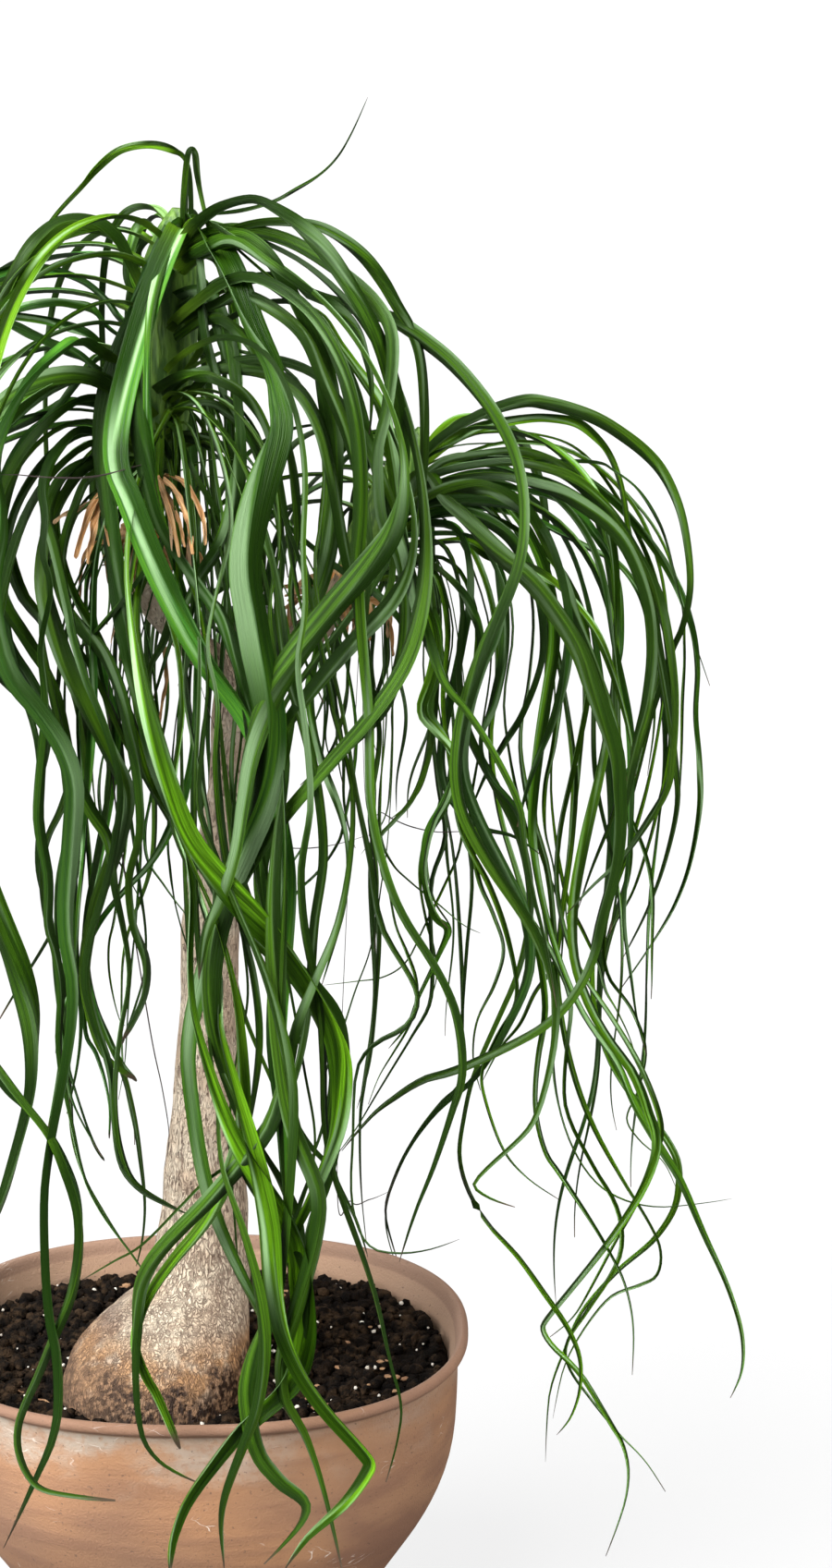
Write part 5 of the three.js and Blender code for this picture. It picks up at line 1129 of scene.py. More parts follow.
def attribute(tree, name):
    return put(tree, "Attribute", attribute_name=name).outputs["Fac"]


def bladeFields(tree):
    # share along a blade, share across it, and its own seed and tint
    parts = put(tree, "SeparateXYZ", {0: put(tree, "UVMap", uv_map="UVMap").outputs[0]}).outputs
    return parts[0], parts[1], attribute(tree, "seed"), attribute(tree, "tint")


def threads(tree, length, across, seed, long, wide, *spread):
    # patches drawn out along a blade; spread is their lower and upper level and their detail
    own = {0: times(tree, length, long), 1: times(tree, across, wide), 2: seed}
    return patches(tree, put(tree, "CombineXYZ", own).outputs[0], 1, *spread)


leafLook = {
    # deep green: the blade's own darkest tone, and also the colour of the painted shade on one half of the
    # fold
    "deep": (0.007, 0.027, 0.0006),
    "mid": (0.185, 0.47, 0.012),
    "blue": (0.035, 0.22, 0.045),
    # yellow-green: partly the leaf's own tone, partly painted light shining through the leaf
    "yellow": (0.22, 0.45, 0.016),
    "base": (0.22, 0.42, 0.02),
    "under": (0.01, 0.032, 0.002),
    "tip": (0.12, 0.085, 0.055),
    "thread": (0.1, 0.075, 0.07),
    # pale mint of the painted sheen
    "pale": (0.56, 0.88, 0.44),
    # threads: how often along and across, then their levels and detail
    "streaks": (5, 9, 0.3, 0.7, 2),
    "fine": (9, 46, 0.3, 0.7, 1),
    "slow": (5, 0, 0.5, 0.68, 1),
    # which half of the fold gets the painted shade, changing slowly along the length
    "turn": (3.5, 1, 0.44, 0.56, 1),
    # patches of painted sheen along the blade
    "paintedSheen": (4, 2.2, 0.5, 0.64, 1),
    "turnPlace": 3.3,
    # ranges: from, to, and the shares at both
    "blueTints": (0.1, -0.9, 0, 0.6),
    "yellowTints": (0.3, 1, 0, 0.22),
    "threadTints": (1.2, 1.6),
    "middle": (0.38, 0.62),
    "baseLength": (0.09, 0, 0, 0.75),
    "tipLength": (0.978, 0.996),
    "tipRagged": 0.012,
    "yellowShare": 0.3,
    "fineShare": 0.22,
    # how strongly the painted shade darkens one half of the fold
    "shadedFlankShare": 0.86,
    "paintedSheenShare": 0.9,
    "underShare": 0.75,
    "shine": 0.3,
    "underShine": 0.15,
    "gloss": 0.17,
    "depth": 0.0003,
}


def leafPaint():
    look = leafLook
    paint, tree, shader = newPaint("greenLeaf", look)
    length, across, seed, tint = bladeFields(tree)
    under = attribute(tree, "under")
    streak = threads(tree, length, across, seed, *look["streaks"])
    fine = threads(tree, length, across, seed, *look["fine"])
    slow = threads(tree, length, 0, seed, *look["slow"])
    turn = threads(tree, length, look["turnPlace"], seed, *look["turn"])
    paintedSheen = threads(tree, length, across, seed, *look["paintedSheen"])
    # painted shade: one half of the folded blade is darkened, and the half swaps slowly along the length
    shadedFlank = calc(tree, "SUBTRACT", between(tree, across, *look["middle"]), turn)
    shadedFlank = calc(tree, "ABSOLUTE", shadedFlank)
    # painted sheen: pale patches on the half of the fold that has no painted shade
    light = times(tree, paintedSheen, calc(tree, "SUBTRACT", 1, shadedFlank))
    wither = calc(tree, "ADD", length, times(tree, streak, look["tipRagged"]))
    color = layered(
        tree, look["deep"], look,
        (streak, "mid"),
        (between(tree, tint, *look["blueTints"]), "blue"),
        # yellow-green whole leaves and slow stretches: partly their own tone, partly painted light shining
        # through
        (between(tree, tint, *look["yellowTints"]), "yellow"),
        (times(tree, slow, look["yellowShare"]), "yellow"),
        (times(tree, fine, look["fineShare"]), "mid"),
        # painted shade on one half of the fold
        (times(tree, shadedFlank, look["shadedFlankShare"]), "deep"),
        # painted sheen on the other half
        (times(tree, light, look["paintedSheenShare"]), "pale"),
        (times(tree, under, look["underShare"]), "under"),
        (between(tree, length, *look["baseLength"]), "base"),
        (between(tree, wither, *look["tipLength"]), "tip"),
        (between(tree, tint, *look["threadTints"]), "thread"),
    )
    shine = calc(tree, "MULTIPLY_ADD", under, look["underShine"], look["shine"])
    fill(tree, shader.inputs["Roughness"], shine)
    dress(tree, shader, color, fine, look["depth"])
    return paint


stemLook = {
    "dark": (0.05, 0.12, 0.02),
    "base": (0.16, 0.3, 0.045),
    "stretch": (1, 1, 0.2),
    "grain": (260, 0.35, 0.65),
    "roughness": 0.5,
    "depth": 0.0006,
}
sealLook = {
    "dark": (0.075, 0.075, 0.08),
    "base": (0.21, 0.21, 0.215),
    "stretch": (1, 1, 0.3),
    "grain": (220, 0.35, 0.65),
    "roughness": 0.7,
    "depth": 0.0006,
}


def grainPaint(name, look):
    # two tones by one drawn-out grain, which also stands out a little
    paint, tree, shader = newPaint(name, look)
    grain = patches(tree, stretched(tree, objectPlace(tree), look["stretch"]), *look["grain"])
    dress(tree, shader, blend(tree, grain, look["dark"], look["base"]), grain, look["depth"])
    return paint


dryLook = {
    "tan": (0.93, 0.6, 0.3),
    "rust": (0.72, 0.33, 0.09),
    "pale": (0.97, 0.82, 0.6),
    "dark": (0.16, 0.07, 0.03),
    "streaks": (3, 7, 0.35, 0.65, 2),
    "fine": (6, 30, 0.35, 0.65, 1),
    "paleTints": (0, 1, 0, 0.8),
    "fineShare": 0.4,
    "roughness": 0.78,
    "depth": 0.0005,
}


def dryPaint():
    look = dryLook
    paint, tree, shader = newPaint("dryLeaf", look)
    length, across, seed, tint = bladeFields(tree)
    streak = threads(tree, length, across, seed, *look["streaks"])
    fine = threads(tree, length, across, seed, *look["fine"])
    color = layered(
        tree, look["tan"], look,
        (streak, "rust"),
        (between(tree, tint, *look["paleTints"]), "pale"),
        (times(tree, fine, look["fineShare"]), "dark"),
    )
    dress(tree, shader, color, fine, look["depth"])
    return paint


barkLook = {
    "pale": (0.75, 0.64, 0.49),
    "pink": (0.55, 0.42, 0.3),
    # painted shade on the trunk's right side, above the foot
    "side": (0.26, 0.17, 0.12),
    # painted shade over the lower trunk and the foot, below 0.42 m
    "lowShade": (0.3, 0.23, 0.16),
    "fleck": (0.085, 0.042, 0.026),
    "rust": (0.33, 0.155, 0.05),
    "smudge": (0.12, 0.07, 0.06),
    "grey": (0.22, 0.125, 0.07),
    "foot": (0.026, 0.012, 0.006),
    "tall": (1, 1, 0.3),
    "flat": (0.25, 0.25, 1),
    "smudgePlace": (0.02, 0, 0),
    # patches: scale, levels and detail
    "tone": (38, 0.4, 0.65),
    "scars": (300, 0.54, 0.64, 2),
    "flecks": (430, 0.58, 0.64, 2),
    "smudges": (42, 0.42, 0.56, 4),
    "rusty": (60, 0.3, 0.5, 6),
    "worn": (90, 0.3, 0.6, 3),
    "footEdge": (70, 0.3, 0.7, 4),
    "specks": (260, 0.36, 0.56, 5),
    "grain": (260, 0.2, 0.8, 5),
    "net": (330, 0.012, 0.22),
    # ranges of height or of the way across, in metres, and the shares at both ends
    "shadeAcross": (0, 0.022),
    "shadeHeights": (0.24, 0.3, 0.25, 0.4),
    "lowShadeHeights": (0.42, 0.3, 0, 0.38),
    "fleckHeights": (0.24, 0.34, 0.35, 0.7),
    "smudgeAcross": (-0.03, -0.055),
    "smudgeTop": (0.268, 0.25),
    "smudgeFoot": (0.232, 0.246),
    "rustHeights": (0.256, 0.238),
    "netHeights": (0.3, 0.4, 0.7, 0.15),
    "footHeights": (0.231, 0.216),
    "speckAcross": (-0.07, -0.03, 0.55, 1),
    "scarShare": 0.45,
    "smudgeShare": 0.6,
    "rustShare": 0.8,
    "greyShare": 0.8,
    "footRagged": -0.016,
    "netRelief": 0.7,
    "fleckRelief": 0.5,
    "roughness": 0.86,
    "depth": 0.0014,
}


def barkPaint():
    look = barkLook
    paint, tree, shader = newPaint("paleBark", look)
    place = objectPlace(tree)
    height, side = along(tree, place, 2), along(tree, place, 0)
    tall, flat = stretched(tree, place, look["tall"]), stretched(tree, place, look["flat"])
    # painted shade: the trunk's right side is darker above the foot, more so higher up
    shade = between(tree, side, *look["shadeAcross"])
    shade = times(tree, shade, between(tree, height, *look["shadeHeights"]))
    scars = patches(tree, flat, *look["scars"])
    flecks = patches(tree, tall, *look["flecks"])
    smudge = patches(tree, stretched(tree, place, (1, 1, 1), look["smudgePlace"]), *look["smudges"])
    for part, name in ((height, "smudgeTop"), (height, "smudgeFoot"), (side, "smudgeAcross")):
        smudge = times(tree, smudge, between(tree, part, *look[name]))
    rust = times(tree, patches(tree, place, *look["rusty"]), between(tree, height, *look["rustHeights"]))
    net = cracks(tree, tall, *look["net"])
    worn = times(tree, net, patches(tree, place, *look["worn"]), between(tree, height, *look["netHeights"]))
    ragged = patches(tree, place, *look["footEdge"])
    low = calc(tree, "MULTIPLY_ADD", ragged, look["footRagged"], height)
    low = between(tree, low, *look["footHeights"])
    speck = times(tree, patches(tree, place, *look["specks"]), between(tree, side, *look["speckAcross"]))
    color = layered(
        tree, look["pale"], look,
        (patches(tree, place, *look["tone"]), "pink"),
        (shade, "side"),
        # painted shade, darker below 0.42 m
        (between(tree, height, *look["lowShadeHeights"]), "lowShade"),
        (times(tree, scars, look["scarShare"]), "pink"),
        (times(tree, flecks, between(tree, height, *look["fleckHeights"])), "fleck"),
        (times(tree, smudge, look["smudgeShare"]), "smudge"),
        (times(tree, rust, look["rustShare"]), "rust"),
        (worn, "fleck"),
        (times(tree, low, look["greyShare"]), "grey"),
        (times(tree, low, speck), "foot"),
    )
    relief = calc(tree, "SUBTRACT", patches(tree, tall, *look["grain"]), times(tree, net, look["netRelief"]))
    relief = calc(tree, "SUBTRACT", relief, times(tree, flecks, look["fleckRelief"]))
    dress(tree, shader, color, relief, look["depth"])
    return paint


clayLook = {
    "clay": (0.28, 0.152, 0.086),
    "warm": (0.35, 0.18, 0.09),
    "brown": (0.18, 0.092, 0.06),
    "lime": (0.4, 0.35, 0.285),
    "chalk": (0.74, 0.66, 0.58),
    "dark": (0.09, 0.055, 0.042),
    "rim": (0.2, 0.115, 0.08),
    "inside": (0.37, 0.26, 0.185),
    # how each kind of mark is drawn out, and where it starts
    "brushedStretch": (0.22, 0.22, 1.6),
    "blotStretch": ((0.6, 0.6, 1.3), (0.3, 0.1, 0)),
    "tornStretch": ((1, 1, 1.5), (0.11, 0, 0)),
    "scratchStretch": (0.55, 0.55, 1.6),
    # patches: scale, levels and detail
    "tone": (9, 0.35, 0.65, 2),
    "brushed": (60, 0.38, 0.68, 4),
    "blots": (17, 0.46, 0.6, 4),
    "torn": (24, 0.25, 0.75, 6),
    "powder": (240, 0.25, 0.6, 5),
    "fields": (18, 0.6, 0.68, 3),
    "breaks": (160, 0.42, 0.6, 4),
    "specks": (420, 0.66, 0.72, 2),
    "grain": (700, 0.2, 0.8, 4),
    "scratches": (60, 0.05, 0.024),
    # ranges of height or of the way across, in metres, and the shares at both ends
    "blotAcross": (-0.03, 0.12, 0.1, 0.7),
    "blotHeights": (0.19, 0.15, 0.3, 1),
    "bandFoot": (0.208, 0.24),
    "bandTop": (0.2215, 0.2185),
    "bandAcross": (0.12, -0.05, 0.25, 0.95),
    "bandOuter": (0, 0.1),
    "powderShares": (0, 1, 0.4, 0.85),
    "insideOuter": (0, -0.1, 0, 0.55),
    "lipHeights": (0.219, 0.2215),
    "bandRagged": 0.04,
    "brushedShare": 0.4,
    "speckShare": 0.6,
    "lipShare": 0.6,
    "grainRelief": 0.35,
    "brushedRelief": 0.4,
    "roughness": 0.84,
    "depth": 0.0006,
}


def clayPaint():
    look = clayLook
    paint, tree, shader = newPaint("terracotta", look)
    place = objectPlace(tree)
    height, side, outer = along(tree, place, 2), along(tree, place, 0), attribute(tree, "outer")
    brushed = patches(tree, stretched(tree, place, look["brushedStretch"]), *look["brushed"])
    blot = patches(tree, stretched(tree, place, *look["blotStretch"]), *look["blots"])
    for part, name in ((side, "blotAcross"), (height, "blotHeights")):
        blot = times(tree, blot, between(tree, part, *look[name]))
    torn = patches(tree, stretched(tree, place, *look["tornStretch"]), *look["torn"])
    edge = calc(tree, "MULTIPLY_ADD", torn, look["bandRagged"], height)
    band = between(tree, edge, *look["bandFoot"])
    for part, name in ((height, "bandTop"), (side, "bandAcross"), (outer, "bandOuter")):
        band = times(tree, band, between(tree, part, *look[name]))
    powder = between(tree, patches(tree, place, *look["powder"]), *look["powderShares"])
    scratches = cracks(tree, stretched(tree, place, look["scratchStretch"]), *look["scratches"])
    thin = times(tree, patches(tree, place, *look["fields"]), patches(tree, place, *look["breaks"]))
    color = layered(
        tree, look["clay"], look,
        (patches(tree, place, *look["tone"]), "warm"),
        (times(tree, brushed, look["brushedShare"]), "brown"),
        (blot, "brown"),
        (times(tree, band, powder), "lime"),
        (between(tree, outer, *look["insideOuter"]), "inside"),
        (times(tree, scratches, thin), "chalk"),
        (times(tree, patches(tree, place, *look["specks"]), look["speckShare"]), "dark"),
        (times(tree, between(tree, height, *look["lipHeights"]), look["lipShare"]), "rim"),
    )
    grain = times(tree, patches(tree, place, *look["grain"]), look["grainRelief"])
    relief = calc(tree, "ADD", grain, times(tree, brushed, look["brushedRelief"]))
    dress(tree, shader, color, relief, look["depth"])
    return paint


soilLook = {
    "dark": (0.0035, 0.002, 0.001),
    "brown": (0.046, 0.027, 0.014),
    # near-black of painted shade in the hollows between crumbs
    "hollow": (0.002, 0.0012, 0.0008),
    "tone": (150, 0.38, 0.66, 3),
    "hollows": (42, 0.42, 0.6, 3),
    "grain": (900, 0.2, 0.8, 3),
    "hollowShadeShare": 0.8,
    "roughness": 0.95,
    "gloss": 0.15,
    "depth": 0.001,
}


def soilPaint():
    look = soilLook
    paint, tree, shader = newPaint("darkSoil", look)
    place = objectPlace(tree)
    # painted shade: near-black patches for the shaded hollows between the crumbs
    hollow = times(tree, patches(tree, place, *look["hollows"]), look["hollowShadeShare"])
    tone = patches(tree, place, *look["tone"])
    color = layered(tree, look["dark"], look, (tone, "brown"), (hollow, "hollow"))
    dress(tree, shader, color, patches(tree, place, *look["grain"]), look["depth"])
    return paint


bitLook = {
    "perlite": ((0.72, 0.68, 0.6), (0.5, 0.44, 0.36)),
    "woodChip": ((0.34, 0.2, 0.1), (0.2, 0.1, 0.05)),
    "tone": (120, 0.3, 0.7, 3),
    "roughness": 0.9,
}


def bitPaint(name):
    paint, tree, shader = newPaint(name, bitLook)
    tone = patches(tree, objectPlace(tree), *bitLook["tone"])
    dress(tree, shader, blend(tree, tone, *bitLook[name]))
    return paint


leafGreen = leafPaint()
stemGreen = grainPaint("greenStem", stemLook)
dryBrown = dryPaint()
bark = barkPaint()
sealGrey = grainPaint("cutSeal", sealLook)
clay = clayPaint()
soilDark = soilPaint()
perliteWhite = bitPaint("perlite")
chipTan = bitPaint("woodChip")
print("materials ready:", len(bpy.data.materials))


# green stems and heads of leaves

def tube(name, rings, sides=20, count=40):
    # a round tube through rings of x, y, height and radius, closed at both ends
    curve = bpy.data.curves.new(name, "CURVE")
    curve.dimensions = "3D"
    curve.bevel_depth = mm
    curve.bevel_resolution = sides // 4
    curve.use_fill_caps = True
    line = curve.splines.new("POLY")
    points = resampled(np.array(rings, float), count)
    line.points.add(count - 1)
    for spot, (x, y, height, radius) in zip(line.points, points):
        spot.co = (x * mm, y * mm, height * mm, 1)
        spot.radius = radius
    makeActive(addObject(name, curve))
    bpy.ops.object.convert(target="MESH")
    return bpy.context.object


def branchEnd(branch):
    # where a branch ends, its direction there and its radius
    end, before = np.array(branch[-1][:3], float), np.array(branch[-2][:3], float)
    return end, unit(end - before), branch[-1][3]


crown = {
    "coreFrom": 0.3, "coreTo": 12, "coreWider": 2, "coreSmooth": 60, "rootDrop": 20,
    "seedBy": 7.3, "seedFrom": 0.37, "wildSeedFrom": 480.41, "drawBy": 100003,
    "wildDrawBy": 70001, "wildSeedBy": 3, "moreFrom": 200, "shortFrom": 300, "lowRoot": 400, "lowSlim": 0.6,
    "fineBelow": 6, "threadTint": 2,
}


def stemRings(branch, stem):
    end, ahead, radius = branchEnd(branch)
    start = [*(end + crown["coreFrom"] * ahead), radius]
    onward = [*(end + crown["coreTo"] * ahead), radius + crown["coreWider"]]
    return [start, onward, *stem]


def leafLooks(draw, seed, blunt=0):
    looks = {"tint": 2 * draw() - 1, "seed": seed, "fold": mix(*blade["foldRange"], draw())}
    looks["round"] = mix(*blade["roundRange"], draw())
    looks["blunt"] = blunt
    return looks


# how much wider some leaves are, which then stay wide nearly to the end, or how much narrower
leafWidths = {
    "left1": 1.15, "left5": 1.25, "left10": 0.85, "left13": 0.8, "left15": 0.9, "left31": 1.15, "left41": 1.2,
    "left42": 0.85, "left43": 1.3, "left44": 1.4, "left45": 0.6, "left46": 1.3, "left48": 0.75,
    "left49": 0.65, "left50": 1.4, "left51": 1.4, "left52": 1.3, "left53": 1.25, "left54": 1.2, "left57": 0.6,
    "leftMore27": 0.7, "leftMore28": 1.1, "leftMore29": 1.1, "leftMore31": 1.1,
    "right0": 0.85, "right6": 0.92, "right16": 0.85, "right19": 0.85, "right20": 0.7, "right21": 0.62,
    "right22": 0.9, "right23": 0.8, "right24": 0.75, "right25": 0.7, "right26": 0.65, "right27": 0.6,
    "right28": 0.85, "right29": 0.75, "rightMore1": 0.6, "rightMore2": 0.7,
}
# leaves that are seen edge-on at first, and up to which share of their length
edgeOn = {
    "left43": 0.45, "left44": 0.42, "left46": 0.3, "left50": 0.4, "left51": 0.42, "left52": 0.3,
    "left53": 0.5, "left54": 0.36, "left55": 0.75, "leftMore19": 0.5, "leftMore25": 0.6, "leftMore26": 0.55,
    "leftMore27": 0.6, "leftMore28": 0.3, "leftMore29": 0.3, "leftMore30": 0.34, "leftMore31": 0.2,
    "leftMore32": 0.45,
}
# turns of the spiral without a leaf, where the crown is airy
sparse = {"left": (0, 5, 15, 17), "right": (0, 1, 5, 13, 14, 15)}
# rear leaves look narrower: depth of the rear and of the front ones, in mm, and the rear share of the width
nearness = {"left": (-45, -115), "right": (45, -40), "rear": 0.7, "broadTaper": 7, "edgeSlim": 0.72}


def traceLeaves(key, word, routes, stem, roots, side, start, blunt=()):
    made = []
    far, close = nearness[key]
    for order, (width, depth, *steps) in enumerate(routes):
        draw = seeded(wild[key]["seed"] + crown["drawBy"] * (start + order + 1))
        points = drawnPoints(steps, depth, roots, side, draw)
        normals = leafNormals(points, outwardOf(points), facings["drawn"], draw)
        points = risen(points, stem[0][2] - crown["rootDrop"])
        seed = crown["seedBy"] * order + crown["seedFrom"] + start
        looks = leafLooks(draw, seed, blade["blunt"] if order in blunt else 0)
        near = min(1, max(0, (depth - far) / (close - far)))
        name = f"{key}{word}{order}"
        wider = leafWidths.get(name, 1)
        if wider > 1:
            looks["taper"] = nearness["broadTaper"]
        if name in edgeOn:
            looks["slim"], looks["slimTo"] = nearness["edgeSlim"], edgeOn[name]
        elif word and steps[1] > crown["lowRoot"]:
            looks["slim"] = crown["lowSlim"]
        if width < blade["threadWidth"]:
            looks["tint"] = crown["threadTint"]
        master = bladeWide if width > crown["fineBelow"] else bladeFine
        seen = width * mix(nearness["rear"], 1, near) * wider
        made.append(layBlade(master, name, points, normals, seen, looks))
    return made


def growWild(key, word, span, stem, side, bare=()):
    made = []
    for order in range(span["leaves"]):
        if order in bare:
            continue
        draw = seeded(span["seed"] * crown["wildSeedBy"] + crown["wildDrawBy"] * (order + 1))
        points = wildPoints(stem, span, order, side, draw)
        normals = leafNormals(points, outwardOf(points), 0, draw)
        points = risen(points, stem[0][2] - crown["rootDrop"])
        width = wild["scale"] * mix(wild["narrow"], wild["wide"], draw())
        looks = leafLooks(draw, crown["seedBy"] * order + crown["wildSeedFrom"])
        made.append(layBlade(bladeWide, f"{key}{word}{order}", points, normals, width, looks))
    return made


def growHead(key, stem, routes, more, short, roots, side):
    drawn = traceLeaves(key, "", routes, stem, roots, side, 0, shortRoutes[key])
    finer = traceLeaves(key, "More", more, stem, roots, side, crown["moreFrom"])
    finer += traceLeaves(key, "Short", short, stem, roots, side, crown["shortFrom"], range(len(short)))
    loose = growWild(key, "Wild", wild[key], stem, side, sparse[key])
    loose += growWild(key, "Behind", wild["behind"][key], stem, side)
    return drawn, finer, loose


def finishHead(key, branch, stem, drawn, finer, loose):
    node = f"head_{key}"
    half = len(drawn) // 2
    for name, blades in (("Front", drawn[:half]), ("Rear", drawn[half:]), ("Fine", finer), ("Loose", loose)):
        piece = joinAll(blades, f"{key}{name}Leaves")
        finishPiece(piece, leafGreen, "leaf", node)
        print(piece.name, len(blades), "blades,", len(piece.data.polygons), "faces")
    core = tube(f"{key}GreenStem", stemRings(branch, stem))
    smooth(core, crown["coreSmooth"])
    finishPiece(core, stemGreen, "leaf", node)


for key, branch, stem, routes, more, short, roots, side in (
    ("left", leftBranch, leftStem, leftRoutes, leftMore, leftShort, leftRoots, -1),
    ("right", rightBranch, rightStem, rightRoutes, rightMore, [], rightRoots, 1),
):
    finishHead(key, branch, stem, *growHead(key, stem, routes, more, short, roots, side))


# dry leaves

dry = {
    "ringLength": 14, "strips": 11, "width": 6, "thin": 0.7, "broad": 1.2, "least": 34, "most": 60,
    "level": (0.25, 0.75), "slope": (0.1, 0.45), "hang": -1.5, "hangFrom": 0.7, "uneven": 0.6, "gap": 1,
    "seeds": {"left": 311, "right": 328}, "seedBy": 3.1, "fold": 1.6, "blunt": 0.5,
    "lean": 46, "broader": 1.1, "shredSeed": 60, "tracedSeed": 30,
    "collar": ((14, 1.2), (7, 2.6), (0, 2.8)), "collarSides": 24, "collarSteps": 12,
}
shreds = {
    "count": 44, "lean": (0.15, 0.9), "gap": 0.6, "length": (14, 34), "curl": (-0.5, 1.6), "bend": 0.3,
    "width": (1.6, 5.5),
}
# strips that show in front: width, depth, steps on the sheet
dryRoutes = {
    "left": [
        [5, -62, 140, 520, 118, 526, 100, 548, 88, 578, 82, 604],
        [6, -66, 138, 528, 116, 540, 104, 562, 98, 588, 95, 610],
        [3, -60, 140, 530, 122, 545, 114, 562, 118, 591],
        [4, -58, 136, 528, 112, 536, 92, 548, 68, 558, 58, 566],
        [4, -72, 168, 512, 176, 530, 184, 556, 190, 580, 194, 603],
        [4, -74, 172, 516, 188, 530, 200, 552, 206, 580, 209, 600],
        [3, -70, 170, 520, 180, 545, 184, 570, 186, 596],
        [4, -68, 176, 514, 196, 520, 212, 540, 220, 565, 222, 590],
        [3, -70, 172, 524, 188, 548, 196, 574, 200, 592],
        [3, -60, 152, 560, 148, 590, 142, 615, 146, 640],
        [2, -62, 140, 640, 132, 660, 124, 680, 120, 696],
        [3, -60, 178, 700, 180, 730, 176, 760, 170, 798],
    ],
    "right": [
        [5, 20, 372, 612, 368, 630, 360, 652, 350, 680],
        [4, 16, 366, 622, 356, 640, 348, 662, 344, 684],
        [3, 12, 370, 630, 364, 648, 356, 664, 352, 672],
        [3, 6, 350, 668, 332, 684, 318, 696, 308, 706],
    ],
}


def dryStrip(key, order, points, normals, width, draw, start=0):
    looks = {"tint": 2 * draw() - 1, "seed": dry["seedBy"] * order + start}
    looks["fold"] = dry["fold"] * draw()
    looks["blunt"] = dry["blunt"] * draw()
    return layBlade(bladeFine, f"{key}Dry{start}x{order}", points, normals, width, looks)


def dryRing(key, branch, draw):
    # strips that grow from the ring and hang, then short torn scales that cover the ring
    end, ahead, radius = branchEnd(branch)
    top = end - ahead
    bottom = top - dry["ringLength"] * ahead
    across = squareTo(np.array([0, 1.0, 0]), ahead)
    made = []
    for strip in range(dry["strips"]):
        angle = (strip + dry["uneven"] * draw()) / dry["strips"] * 2 * math.pi
        outward = turnedAbout(across, ahead, angle)
        point = mix(bottom, top, mix(*dry["level"], draw())) + (radius + dry["gap"]) * outward
        length = mix(dry["least"], dry["most"], draw())
        slope = mix(*dry["slope"], draw())
        points = [point.copy()]
        flat = levelled(outward)
        for at in range(1, samples + 1):
            fall = mix(slope, dry["hang"], ease(at / samples / dry["hangFrom"]))
            point = point + length / samples * (flat * math.cos(fall) + np.array([0, 0, math.sin(fall)]))
            points.append(point.copy())
        normals = leafNormals(np.array(points), outward, 0, draw)
        width = dry["width"] * mix(dry["thin"], dry["broad"], draw())
        made.append(dryStrip(key, strip, np.array(points), normals, width, draw))
    shares = np.linspace(0, 1, samples + 1)[:, None]
    for shred in range(shreds["count"]):
        outward = turnedAbout(across, ahead, draw() * 2 * math.pi)
        lean = mix(*shreds["lean"], draw())
        start = mix(bottom, top, draw()) + (radius + shreds["gap"]) * outward
        length = mix(*shreds["length"], draw())
        curl = mix(*shreds["curl"], draw())
        fall = -ahead * math.cos(lean) + outward * math.sin(lean)
        bend = length * shreds["bend"] * curl * shares ** 2 * (levelled(outward) - fall)
        points = start + length * shares * fall + bend
        normals = leafNormals(points, outward, 0, draw)
        width = mix(*shreds["width"], draw())
        made.append(dryStrip(key, shred, points, normals, width, draw, dry["shredSeed"]))
    return made


def dryTraced(key, draw):
    made = []
    for order, (width, depth, *steps) in enumerate(dryRoutes[key]):
        drawn = sheetSteps(steps)
        shares = [at / samples for at in range(samples + 1)]
        marks = [(*splinePoint(drawn, share), mix(depth, depth - dry["lean"], share)) for share in shares]
        points = np.array([atDepth(*mark) for mark in marks])
        normals = leafNormals(points, outwardOf(points), facings["drawn"], draw)
        width = dry["broader"] * width
        made.append(dryStrip(key, order, points, normals, width, draw, dry["tracedSeed"]))
    return made


def makeDryLeaves(key, branch):
    draw = seeded(dry["seeds"][key])
    strips = dryRing(key, branch, draw) + dryTraced(key, draw)
    end, ahead, radius = branchEnd(branch)
    ends = [[*(end - (1 + away) * ahead), radius + thick] for away, thick in dry["collar"]]
    collar = tube(f"{key}Collar", ends, dry["collarSides"], dry["collarSteps"])
    piece = joinAll(strips, f"{key}DryLeaves")
    for made in (collar, piece):
        finishPiece(made, dryBrown, "dry_leaf", f"dry_leaves_{key}")
    print(piece.name, len(piece.data.polygons), "faces")


for key, branch in (("left", leftBranch), ("right", rightBranch)):
    makeDryLeaves(key, branch)


# foot, trunk and branches

wood = {
    "sides": 48,
    "rings": 70,
    "voxel": 0.0015,
    "smoothing": 4,
    "smoothFactor": 0.5,
    "sunk": 0.4,
    # size of the lumps and of the ridges, how they are drawn out, their seed and how far they stand out
    "swells": ((22, 1, 3, 1.1), (5, 0.35, 5, 0.45)),
}


def ringStack(name, rings, sides):
    # a closed circle, extruded and resized from ring to ring
    deselectAll()
    x, y, height, radius = rings[0]
    bpy.ops.mesh.primitive_circle_add(vertices=sides, radius=radius * mm, fill_type="NGON")
    made = bpy.context.object
    made.name = name
    bpy.ops.object.mode_set(mode="EDIT")
    bpy.ops.mesh.select_all(action="SELECT")
    bpy.ops.transform.translate(value=(x * mm, y * mm, height * mm))
    for last, ring in zip(rings, rings[1:]):
        step = [(new - old) * mm for old, new in zip(last[:3], ring[:3])]
        share = ring[3] / last[3]
        bpy.ops.mesh.extrude_region_move(TRANSFORM_OT_translate={"value": step})
        bpy.ops.transform.resize(value=(share, share, 1), center_override=[value * mm for value in ring[:3]])
    bpy.ops.mesh.select_all(action="SELECT")
    bpy.ops.mesh.normals_make_consistent(inside=False)
    bpy.ops.object.mode_set(mode="OBJECT")
    return made


